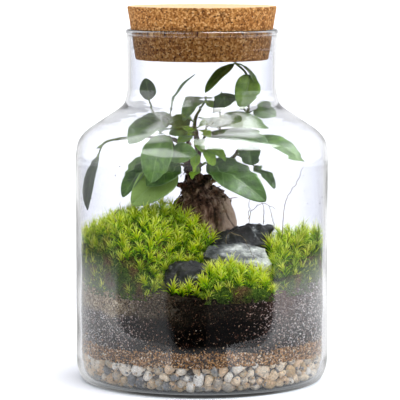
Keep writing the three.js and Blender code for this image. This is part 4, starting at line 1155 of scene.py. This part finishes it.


# a leaf's tone is painted light and shade: it lightens leaves that face away from the light and darkens one
# that faces it
shoots = [
    dict(
        twig=[(-11, -1, 174), (-21, -9, 184), (-40, -16, 186.5), (-57, -22, 186.5), (-70, -24, 185),
              (-77, -24, 181)],
        radii=[1.5, 1.2, 1, 0.9, 0.8, 0.8],
        leaves=[leaf((-75.5, -24, 182), (-78, -23.6, 176), (-87.5, -15, 132), 10, (-0.6, -0.8, 0), dry=0.95)],
    ),
    dict(
        twig=[(-10, 1, 181), (-16, 3, 191), (-24, 5, 199), (-37, 6, 206)],
        radii=[1.6, 1.3, 1.1, 0.8],
        leaves=[
            leaf((-24, 5, 199), (-27, -2, 200), (-55, -28, 183), 25, (-0.3, -0.7, 0.6)),
            leaf((-24, 5, 199), (-24.5, 9, 206), (-5.5, 11, 235), 13, (-0.82, 0.1, 0.57)),
            leaf((-37, 6, 206), (-41, 6, 214), (-43.5, 7, 232), 13, (-0.1, -1, 0.1), arch=0.04, dry=0.35),
            leaf((-16, 3, 191), (-22, 9, 197), (-47, 22, 201), 17, (-0.1, -0.5, 0.9)),
            leaf((-16, 3, 191), (-17, 14, 190), (-33, 46, 184), 22, (-0.1, 0.3, 0.95)),
        ],
    ),
    dict(
        twig=[(-11.5, -1, 170), (-16, -9, 175), (-22, -15, 181), (-24, -17, 186)],
        radii=[1.6, 1.3, 1.1, 0.9],
        leaves=[
            leaf((-24, -17, 186), (-29, -23, 189), (-38, -43, 156), 24, (-0.1, -0.9, 0.5), tone=0.16),
            leaf((-16, -9, 175), (-24, -19, 174), (-4, -33, 177), 15, (0.1, -0.95, 0.3)),
            leaf((-16, -9, 175), (-17, -12, 166), (-42, -27, 152), 20, (0.05, -0.75, 0.65)),
        ],
    ),
    dict(
        twig=[(-11, 0, 163), (-18, -4, 167), (-30, -6, 170), (-39, -8, 170)],
        radii=[1.6, 1.3, 1, 0.8],
        leaves=[
            leaf((-18, -4, 167), (-20, -9, 160), (-53, -30, 138), 26, (0.1, -0.85, 0.5), tone=0.42),
            leaf((-39, -8, 170), (-42, -11, 167), (-60, -22, 143), 15, (-0.5, -0.8, 0.35), fold=0.4),
            leaf((-39, -8, 170), (-42, -5, 171), (-60, 4, 152), 14, (-0.6, -0.5, 0.6)),
            leaf((-18, -4, 167), (-22, 4, 168), (-44, 32, 158), 22, (-0.2, 0.1, 0.95)),
        ],
    ),
    dict(
        twig=[(-4.6, 4, 187), (-5.5, 3, 197), (-3, 2, 206), (2, 1, 213)],
        radii=[1.7, 1.4, 1.1, 0.8],
        leaves=[
            leaf((2, 1, 213), (3, -1, 213), (-14, -13, 199.5), 16, (-0.45, -0.6, 0.7), arch=0.32),
            leaf((2, 1, 213), (3.5, -2, 214), (7.5, -13, 210), 7, (0.1, -0.6, 0.8), young=0.5),
            leaf((-5.5, 3, 197), (-8, -4, 196), (-24, -19, 194), 11, (0, -0.4, 0.9), young=0.3),
            leaf((-5, 3.5, 191), (-1, -5, 191), (6, -17, 186), 9, (0.3, -0.7, 0.7), young=0.9),
            leaf((-5.5, 3, 197), (-6, -4, 194), (-10, -17, 188), 9, (-0.2, -0.8, 0.6), young=0.8),
            leaf((-5.5, 3, 197), (-7, -2, 199), (-15, -14, 204), 9, (-0.3, -0.8, 0.5), young=0.9),
            leaf((-5, 3.5, 193), (-4, -4, 195), (3, -15, 198), 8, (0.3, -0.8, 0.5), young=0.85),
            leaf((-4.6, 4, 188), (-8, -4, 186), (-18, -16, 182), 10, (-0.3, -0.8, 0.5), young=0.75),
            leaf((-4.6, 4, 188), (-4, -5, 184), (0, -17, 176), 9, (0.2, -0.8, 0.5), young=0.8),
            leaf((-5.5, 3, 197), (-9, -2, 200), (-26, -11, 198), 12, (-0.1, -0.75, 0.65), young=0.25),
            leaf((-4.6, 4, 188), (-8, -3, 191), (-25, -14, 189), 11, (-0.1, -0.8, 0.5), young=0.4),
            leaf((-4.6, 4, 188), (-6, -6, 189), (-15, -15, 197), 9, (0.1, -0.9, 0.3), young=0.7),
        ],
    ),
    dict(
        twig=[(9, 5, 159.5), (14, 12, 170), (14, 14, 190), (14, 12, 206), (15, 8, 219)],
        radii=[1.6, 1.2, 1, 0.9, 0.8],
        leaves=[
            leaf((14, 13, 180), (17, 18, 184), (38, 44, 188), 22, (0.1, 0.3, 0.95)),
            leaf((14, 14, 190), (12, 20, 194), (2, 52, 196), 21, (-0.1, 0.1, 1)),
        ],
    ),
    dict(
        twig=[(3, 3, 155), (15, 14, 163), (27, 18, 172), (32, 17, 188), (35, 12, 205), (38.5, 10, 222),
              (34, 9, 236), (27, 8, 243)],
        radii=[1.9, 1.6, 1.4, 1.2, 1.1, 1, 0.9, 0.8],
        leaves=[
            leaf((27, 8, 243), (24.5, 5, 243.5), (2.5, -9, 222), 13, (-0.5, -0.55, 0.65), arch=0.06),
            leaf((27, 8, 243), (31, 6, 242.5), (42, -1, 226), 10, (0.8, -0.35, 0.45), arch=0.08),
            leaf((38, 10, 223), (37, 1, 235), (29, -10, 210), 20, (0.15, -0.95, 0.15), fold=0.35, young=0.25),
            leaf((35, 12, 205), (41, 6, 209), (56.5, -4, 203), 17, (0.2, -0.85, 0.45)),
            leaf((35, 12, 206), (27, 3, 217), (8.5, -7, 206.5), 14, (-0.2, -0.8, 0.6), arch=0.2),
            leaf((32, 17, 188), (39, 4, 184.5), (78, -17, 169), 16, (0.1, -0.5, 0.85)),
            leaf((31, 17, 184), (34, 8, 184), (38, -6, 165), 18, (0.1, -0.95, 0.3)),
            leaf((27, 18, 172), (40, 2, 164), (56, -12, 148), 11, (0.55, -0.7, 0.45)),
        ],
    ),
    dict(
        twig=[(-3.2, 3.5, 176), (1.5, -1, 184), (3, -3, 190), (3.5, -2, 196)],
        radii=[1.5, 1.2, 1, 0.8],
        leaves=[
            leaf((3.5, -2, 196), (6, -3, 197), (51, -14, 193), 22, (0, -0.5, 0.87), arch=0.14),
            leaf((3, -3, 190), (6, -7, 187), (50, -27, 183), 21, (0, -0.55, 0.85)),
            leaf((1.5, -1, 184), (4, -7, 179), (18, -19, 171), 9, (0.2, -0.75, 0.65), young=0.6),
            leaf((1.5, -1, 184), (2, -8, 177), (9, -17, 166), 9, (0.2, -0.85, 0.4), young=0.85),
            leaf((-3.2, 3.5, 177), (-4, -7, 174), (-6, -17, 164), 8, (-0.2, -0.85, 0.4), young=0.9),
        ],
    ),
    dict(
        twig=[(-3.5, 3, 163), (0, -6, 166), (2, -11, 168.5)],
        radii=[1.5, 1.3, 1.1],
        leaves=[
            leaf((2, -11, 168.5), (4, -13, 168.5), (48.5, -33, 141), 26, (0.33, -0.87, 0.37), tone=-0.1),
            leaf((0, -6, 166), (-3, -11, 164.5), (-8, -21, 157), 8, (-0.3, -0.8, 0.5), young=0.6),
        ],
    ),
]


def waxyLeaf():
    # a fig's leathery leaf: a wax layer gives soft gloss, and the veins are paler and a little sunk
    material, tree, shader = newMaterial("waxy fig leaf", {
        "Roughness": 0.42, "IOR": 1.45, "Coat Weight": 0.18, "Coat Roughness": 0.25,
    })
    u, v, _ = add(tree, "SeparateXYZ", add(tree, "UVMap", uv_map="leafUv")).outputs
    off = add(tree, "Math", u, 0.5, operation="SUBTRACT")
    across = add(tree, "Math", off, operation="ABSOLUTE")
    midrib = add(tree, "MapRange", across, 0.006, 0.026, 0.34, 0.0)
    slant = add(tree, "Math", across, -0.42, v, operation="MULTIPLY_ADD")
    phase = add(tree, "Math", slant, float(leafDetail["veins"]), operation="MULTIPLY")
    tooth = add(tree, "Math", phase, 1.0, operation="PINGPONG")
    vein = add(tree, "MapRange", tooth, 0.0, 0.14, 0.17, 0.0)
    ribs = add(tree, "Math", midrib, vein, operation="MAXIMUM")
    rim = add(tree, "MapRange", across, 0.45, 0.5, 0, 0.55)
    lines = add(tree, "Math", ribs, rim, operation="MAXIMUM")
    place3d = add(tree, "TexCoord").outputs["Object"]
    cloud = add(tree, "TexNoise", place3d, perSize(6), 4, 0.6)
    names = ("tint", "young", "dry", "under")
    tint, young, dry, under = (add(tree, "Attribute", attribute_name=key).outputs["Fac"] for key in names)
    mixed = add(tree, "Math", cloud, tint, operation="ADD")
    mature = add(tree, "ValToRGB", mixed, stops=[
        (0.3, "#2d481a"), (0.55, "#476a26"), (0.8, "#678c38"), (1.0, "#8aa852"),
    ])
    youngTone = add(tree, "ValToRGB", cloud, stops=[(0.3, "#7cab20"), (0.6, "#a6d22e"), (0.8, "#cbec50")])
    green = add(tree, "Mix", young, mature, youngTone, data_type="RGBA")
    dull = add(tree, "Mix", dry, green, "#696c64", data_type="RGBA")
    paler = add(tree, "Mix", under, dull, "#7f9f6a", data_type="RGBA")
    lined = add(tree, "Mix", lines, paler, "#9dba7c", data_type="RGBA")
    cells = add(tree, "TexVoronoi", place3d, perSize(1.6))
    sunk = add(tree, "Math", lines, -0.8, cells, operation="MULTIPLY_ADD")
    bump = add(tree, "Bump", named={"Height": sunk, "Strength": 0.25, "Distance": 0.0004})
    rough = add(tree, "MapRange", cloud, 0.3, 0.7, 0.34, 0.55)
    connect(tree, shader, {"Base Color": lined, "Normal": bump, "Roughness": rough})
    return material


def twigBark():
    material, tree, shader = newMaterial("young fig twig", {"Roughness": 0.7})
    place3d = add(tree, "TexCoord").outputs["Object"]
    green = add(tree, "Attribute", attribute_name="young").outputs["Fac"]
    rings = add(tree, "TexNoise", place3d, perSize(1.5), 4, 0.7)
    woody = add(tree, "ValToRGB", rings, stops=[(0.3, "#2a1c13"), (0.5, "#4f3a29"), (0.7, "#7c6650")])
    fresh = add(tree, "ValToRGB", rings, stops=[(0.3, "#4d6a2c"), (0.5, "#6f8a40"), (0.7, "#93a860")])
    colour = add(tree, "Mix", green, woody, fresh, data_type="RGBA")
    bump = add(tree, "Bump", named={"Height": rings, "Strength": 0.6, "Distance": 0.0005})
    connect(tree, shader, {"Base Color": colour, "Normal": bump})
    return material


def bladeShape(t):
    return np.sin(math.pi * t ** 0.9).clip(0, 1) ** 0.6


def leafBlade(own, roll):
    d = leafDetail
    base, tip, face = (np.array(own[k], float) for k in ("base", "tip", "face"))
    length = np.linalg.norm(tip - base)
    along = unit(tip - base)
    up = unit(face - face.dot(along) * along)
    across = np.cross(along, up)
    t = np.linspace(0, 1, d["rows"])
    s = np.linspace(-1, 1, d["columns"])
    s = np.sign(s) * np.abs(s) ** 0.9
    down, aside = np.meshgrid(t, s, indexing="ij")
    half = np.maximum(0.22, own["width"] / 2 * bladeShape(down))
    bend = roll.uniform(-0.035, 0.035) * length * np.sin(math.pi * down)  # the midrib isn't quite straight
    twist = roll.uniform(-0.16, 0.16) * (down - 0.5)
    phases = roll.uniform(0, 2 * math.pi, 2)
    waves = np.where(aside > 0, np.sin(13 * down + phases[0]), np.sin(11 * down + phases[1]))
    ripple = d["margin"] * aside ** 2 * waves * own["width"] / 20
    veinPhase = (down - 0.21 * np.abs(aside)) * d["veins"]
    swell = 0.16 * np.cos(2 * math.pi * veinPhase / 2) ** 2 * (1 - np.abs(aside)) * np.abs(aside) * 4
    lift = length * own.get("arch", usualArch) * np.sin(math.pi * down)
    fold = (np.sqrt(aside ** 2 + 0.015) - 0.12) * half * own.get("fold", usualFold)
    groove = -0.22 * np.exp(-(aside * half / 0.7) ** 2)
    rise = lift + fold + ripple + swell * own["width"] / 20 + aside * half * twist
    thick = d["rim"] + (d["thickness"] - d["rim"]) * (1 - aside ** 2)
    centre = base + along * (length * down)[..., None] + across * (aside * half + bend)[..., None]
    top = centre + up * (rise + thick / 2 + groove)[..., None]
    keel = 0.3 * np.exp(-(aside * half / 0.6) ** 2) * (1 - 0.6 * down)
    low = centre + up * (rise - thick / 2 - keel)[..., None]
    n, m = down.shape
    grid = np.arange(n * m).reshape(n, m)
    faces = []
    for i in range(n - 1):
        for j in range(m - 1):
            a, b, c, e = grid[i, j], grid[i, j + 1], grid[i + 1, j + 1], grid[i + 1, j]
            faces.append((a, e, c, b))
            faces.append((a + n * m, b + n * m, c + n * m, e + n * m))
    rim = [*grid[0, :], *grid[1:, -1], *grid[-1, -2::-1], *grid[-2:0:-1, 0]]
    for a, b in zip(rim, rim[1:] + rim[:1]):
        faces.append((a, b, b + n * m, a + n * m))
    uv = np.stack([(aside + 1) / 2, down], -1).reshape(-1, 2)
    under = np.concatenate([np.zeros(n * m), np.ones(n * m)])
    points = np.concatenate([top.reshape(-1, 3), low.reshape(-1, 3)])
    end = base + (tip - base) * d["underBlade"] + unit(face) * (
        d["underBlade"] * math.pi * own.get("arch", usualArch) * length)
    return points, [tuple(int(v) for v in f) for f in faces], np.concatenate([uv, uv]), under, end


def makeLeaves():
    leafGreen, twigBrown = waxyLeaf(), twigBark()
    for number, shoot in enumerate(shoots, 1):
        roll = np.random.default_rng(60 + number)
        heap = Heap()
        uvs, kinds = [], []

        def put(points, faces, uv, kind, **values):
            heap.put(points, faces, **{"tint": 0.0, "young": 0.0, "dry": 0.0, "under": 0.0, **values})
            uvs.append(np.full((len(points), 2), 0.5) if uv is None else uv)
            kinds.extend([kind] * len(faces))

        points, faces, along = stemShape(shoot["twig"], shoot["radii"], 8, 7, 0.16, number)
        put(points, faces, None, 1, young=0.75 * along)
        end = np.array(shoot["twig"][-1], float)
        ahead = unit(end - np.array(shoot["twig"][-2], float))
        budPath = [end - ahead, end + ahead * 1.2, end + ahead * 3.2]
        bud, budFaces, along = stemShape(budPath, [0.9, 0.75, 0.1], 7, 4)
        put(bud, budFaces, None, 1, young=0.9)
        for own in shoot["leaves"]:
            points, faces, uv, under, stalkEnd = leafBlade(own, roll)
            # tone: painted light on leaves that face away from the light, painted shade on one that faces it
            put(points, faces, uv, 0, tint=roll.uniform(-0.1, 0.26) + own.get("tone", 0),
                young=own.get("young", 0), dry=own.get("dry", 0), under=under * 0.75)
            start, base = np.array(own["start"], float), np.array(own["base"], float)
            middle = (start + base) / 2 + (0, 0, 0.3)
            points, faces, along = stemShape([start, middle, base, stalkEnd], leafDetail["stalk"], 7, 5)
            put(points, faces, None, 1, young=0.55 + 0.4 * along)
        name = f"ficus_shoot_{number}"
        place(name + "_leaves", heap.allPoints(), heap.faces, [leafGreen, twigBrown], [name],
              values=heap.allValues(), faceMaterials=kinds, uv=np.concatenate(uvs))


makeLeaves()

# Dry rootlets that have grown up through the moss and along the glass, and specks of soil on the glass.

threads = dict(
    rootlets=[
        [(-62, -34, 122), (-66, -34, 130), (-62, -32, 135), (-61, -30, 141)],
        [(37, -8, 121), (36.5, -8, 132), (37, -8, 138), (39, -8, 147)],
        [(36.5, -8, 124), (40, -8, 132), (45, -8, 136), (50, -10, 136), (56, -10, 133)],
        [(47.5, -8, 120), (48, -9, 131), (46, -10, 139)],
        [(55.5, -10, 117), (54, -10, 127), (52, -10, 134)],
        [(60, -34, 112), (61.5, -34, 128), (63, -34, 140), (66, -34, 148), (72, -32, 156), (76.5, -30, 168)],
        [(17.5, -30, 108), (19.8, -34, 116.7), (25.8, -36, 116.2), (31, -40, 113.7), (36.3, -44, 106),
         (39, -46, 99)],
    ],
    radius=(0.3, 0.16), specks=70, seed=77,
)


def dryRoot():
    material, tree, shader = newMaterial("dry rootlets", {"Roughness": 0.85})
    place3d = add(tree, "TexCoord").outputs["Object"]
    fleck = add(tree, "TexNoise", place3d, perSize(3), 4, 0.7)
    tone = add(tree, "ValToRGB", fleck, stops=[(0.35, "#3b3020"), (0.5, "#7d6d4e"), (0.65, "#b9a882")])
    tint = add(tree, "Attribute", attribute_name="tint").outputs["Fac"]
    colour = add(tree, "Mix", tint, "#1c120b", tone, data_type="RGBA")
    connect(tree, shader, {"Base Color": colour})
    return material


def makeThreads():
    roll = np.random.default_rng(threads["seed"])
    heap = Heap()
    thick, thin = threads["radius"]
    for line in threads["rootlets"]:
        wavy = smoothThrough(line, 5) + roll.normal(0, 0.35, (5 * (len(line) - 1) + 1, 3))
        points, faces, _ = stemShape([tuple(p) for p in wavy], np.linspace(thick, thin, len(wavy)), 5, 2)
        heap.put(points, faces, tint=1)
    # specks of soil stick to the glass, most of them at the left
    turn = np.radians(roll.normal(-115, 40, threads["specks"]))
    height = roll.uniform(100, 185, threads["specks"])
    size = roll.uniform(0.22, 0.5, threads["specks"])
    reach = np.interp(height, [168, 184, 190], [94.3, 91, 86]) - 0.1 - 0.6 * size
    spots = aboutAxis(reach, turn, height)
    scatterGrains(heap, spots, size, 0.4 * roll.random(len(spots)), roll)
    placeHeap("dry_rootlets", heap, dryRoot(), ())


makeThreads()

# Room: a pale floor, white panels at both sides, a soft box overhead and a dim room in front.

light = dict(
    # radiance of what stands round the jar, by degrees from the front towards the right
    round=[(-180, 0.95), (-140, 0.95), (-110, 1.05), (-81, 1.6), (-78, 0.46), (-31, 0.42), (-28, 0.0),
           (3, 0.0), (5, 0.04), (63, 0.07), (66, 1.8), (110, 1.4), (145, 1.1), (180, 0.95)],
    # the near board's reach in metres and its brightness, and from where to where the table fades
    board=0.33, nearBoard=0.42, table=(0.6, 0.84),
    # soft boxes in the glass: how far they reach across and along a ceiling of height 1, and how bright
    boxes=[
        ((0.03, 1.25), (-0.78, 0.05), 13.0), ((0.02, 0.42), (0.3, 0.8), 5.5),
        ((-1.0, -0.27), (0.02, 0.56), 3.5), ((-2.5, -0.6), (-3.4, -0.62), 4.0),
    ],
    ceiling=(0.15, 1.0), room=0.4,  # overhead and behind, and at least this at the height of the jar
    onThings=(0.85, 0.36),  # on the part and the floor: share of the panels' light, and the even light
    seen=1.12, seenThrough=0.78, sun=2.45, sunSize=35, sunFrom=(0.2, -0.16, 1.0), boardTone="#f0f1f7",
    insideGlass=0.7,  # the room as light sees it that was mirrored inside the glass
    # metres from the axis: where the board near the foot turns bright, and where the painted shadow line
    # under it ends
    foot=(0.14, 0.11), footShine=0.8, underFoot=(0.089, 0.096), footLine=0.62,
    worldTone=(0.97, 0.975, 1.0, 1), floorReach=12,
)

view = dict(place=(-0.0015, -1.824, 0.338), down=6.25, lens=213.7, sensor=36)  # metres, degrees, mm


def roundAt(tree, x, y, widen=1.0):
    # radiance of the surroundings for a direction or place, seen from above
    front = add(tree, "Math", y, -1.0, operation="MULTIPLY")
    angle = add(tree, "Math", x, front, operation="ARCTAN2")
    wide = add(tree, "Math", angle, widen, operation="MULTIPLY")
    turn = add(tree, "MapRange", wide, -math.pi, math.pi)
    stops = [((degrees + 180) / 360, value / 2) for degrees, value in light["round"]]
    ramp = add(tree, "ValToRGB", turn, stops=stops)
    return add(tree, "Math", ramp, 2.0, operation="MULTIPLY")


def matBoard():
    # a white board on a table. In the glass's reflections it glows with painted room light, though it is no
    # lamp: dim near the jar, with the panels' glow at the sides, and dark past the table's front edge
    material, tree, shader = newMaterial("matt white board", {"Roughness": 0.7})
    place3d = add(tree, "TexCoord").outputs["Object"]
    grain = add(tree, "TexNoise", place3d, perSize(60), 3)
    tone = add(tree, "ValToRGB", grain, stops=[(0.3, light["boardTone"]), (0.7, "#f3f4fb")])
    connect(tree, shader, {"Base Color": tone})
    x, y, _ = add(tree, "SeparateXYZ", place3d).outputs
    away = add(tree, "VectorMath", place3d, operation="LENGTH")
    # the dark stretch in front is rounded towards the jar
    near = add(tree, "Math", light["board"], away, operation="DIVIDE")
    square = 5.0  # the greater, the squarer
    raised = add(tree, "Math", near, square, operation="POWER")
    rest = add(tree, "Math", 1.0, raised, operation="SUBTRACT")
    some = add(tree, "Math", rest, 0.002, operation="MAXIMUM")
    widen = add(tree, "Math", some, -1 / square, operation="POWER")
    panels = roundAt(tree, x, y, widen)
    close = add(tree, "MapRange", away, light["board"] * 0.97, light["board"] * 1.03, light["nearBoard"], 0.0)
    glow = add(tree, "Math", panels, close, operation="MAXIMUM")
    fade = add(tree, "MapRange", away, *light["table"], 1.0, 0.1)
    back = add(tree, "Math", y, away, operation="DIVIDE")
    behind = add(tree, "MapRange", back, 0.6, 0.9)
    kept = add(tree, "Math", fade, behind, operation="MAXIMUM")
    shine = add(tree, "Math", glow, kept, operation="MULTIPLY")
    # painted light and shadow: the foot's thick corner shows the board close to it glowing evenly, and its
    # rim under the jar painted dark as a shadow line
    atFoot = add(tree, "MapRange", away, *light["foot"])
    footShine = add(tree, "Mix", atFoot, shine, light["footShine"], data_type="FLOAT")
    rim = add(tree, "MapRange", away, *light["underFoot"], light["footLine"], 1.0)
    rimmed = add(tree, "Math", footShine, rim, operation="MULTIPLY")
    path = add(tree, "LightPath")
    # painted light: in reflections the board shows this glow instead of its lit white
    room = add(tree, "Emission", named={"Strength": rimmed})
    bounced = add(tree, "Math", path.outputs["Glossy Depth"], 0.5, operation="GREATER_THAN")
    mix = add(tree, "MixShader", bounced, shader.outputs[0], room)
    connect(tree, tree.nodes["Material Output"], {"Surface": mix})
    return material


def makeRoom():
    floorMesh = bpy.data.meshes.new("floor")
    far = light["floorReach"]
    corners = [(-far, -far, 0), (far, -far, 0), (far, far, 0), (-far, far, 0)]
    floorMesh.from_pydata(corners, [], [(0, 1, 2, 3)])
    floor = bpy.data.objects.new("floor", floorMesh)
    bpy.context.scene.collection.objects.link(floor)
    floorMesh.materials.append(matBoard())

    sun = bpy.data.lights.new("overhead light", "SUN")
    sun.energy = light["sun"]
    sun.angle = math.radians(light["sunSize"])
    lamp = bpy.data.objects.new("overhead light", sun)
    lamp.rotation_mode = "QUATERNION"
    lamp.rotation_quaternion = Vector(light["sunFrom"]).to_track_quat("Z", "Y")
    lamp.visible_glossy = False
    bpy.context.scene.collection.objects.link(lamp)

    world = bpy.data.worlds.new("white studio")
    bpy.context.scene.world = world
    world.use_nodes = True
    tree = world.node_tree
    x, y, z = add(tree, "SeparateXYZ", add(tree, "TexCoord").outputs["Generated"]).outputs
    panels = roundAt(tree, x, y)
    # soft boxes on a flat ceiling
    up = add(tree, "Math", z, 0.02, operation="MAXIMUM")
    across = add(tree, "Math", x, up, operation="DIVIDE")
    along = add(tree, "Math", y, up, operation="DIVIDE")

    def between(value, low, high):
        soft = 0.03 * (1 + abs(low + high))
        rise = add(tree, "MapRange", value, low - soft, low + soft)
        fall = add(tree, "MapRange", value, high + soft, high - soft)
        return add(tree, "Math", rise, fall, operation="MULTIPLY")

    ceiling = add(tree, "MapRange", y, 0.45, 0.75, *light["ceiling"])
    above = add(tree, "MapRange", z, 0.5, 0.56)
    low = add(tree, "Math", panels, light["room"], operation="MAXIMUM")
    mirrored = add(tree, "Mix", above, low, ceiling, data_type="FLOAT")
    for reach, depth, strength in light["boxes"]:
        inside = add(tree, "Math", between(across, *reach), between(along, *depth), operation="MULTIPLY")
        mirrored = add(tree, "Math", inside, strength, mirrored, operation="MULTIPLY_ADD")
    # straight through the glass or past it the eye sees plain white
    path = add(tree, "LightPath")
    mirrorless = add(tree, "Math", path.outputs["Glossy Depth"], 0.5, operation="LESS_THAN")
    direct = add(tree, "Math", path.outputs["Diffuse Depth"], 0.5, operation="LESS_THAN")
    straight = add(tree, "Math", mirrorless, direct, operation="MULTIPLY")
    through = add(tree, "Math", straight, path.outputs["Is Transmission Ray"], operation="MULTIPLY")
    # light turned back inside the glass, as in the neck's tight bend, comes from the pale room
    inGlass = add(tree, "Math", path.outputs["Transmission Depth"], 0.5, operation="GREATER_THAN")
    least = add(tree, "Math", inGlass, light["insideGlass"], operation="MULTIPLY")
    mirrored = add(tree, "Math", mirrored, least, operation="MAXIMUM")
    # things are lit by the panels alone, and the lamp stands in for the soft box
    onThings = add(tree, "Math", panels, *light["onThings"], operation="MULTIPLY_ADD")
    lit = add(tree, "Mix", mirrorless, mirrored, onThings, data_type="FLOAT")
    bent = add(tree, "Mix", through, lit, light["seenThrough"], data_type="FLOAT")
    strength = add(tree, "Mix", path.outputs["Is Camera Ray"], bent, light["seen"], data_type="FLOAT")
    connect(tree, tree.nodes["Background"], {"Strength": strength, "Color": light["worldTone"]})

    camera = bpy.data.objects.new("camera", bpy.data.cameras.new("camera"))
    camera.data.lens = view["lens"]
    camera.data.sensor_width = view["sensor"]
    camera.location = view["place"]
    camera.rotation_euler = (math.radians(90 - view["down"]), 0, 0)
    bpy.context.scene.collection.objects.link(camera)
    scene = bpy.context.scene
    scene.camera = camera
    scene.view_settings.view_transform = "Standard"
    scene.cycles.transmission_bounces = 12
    scene.cycles.glossy_bounces = 12
    scene.cycles.transparent_max_bounces = 16
    scene.cycles.max_bounces = 14


makeRoom()

print("terrarium: done")
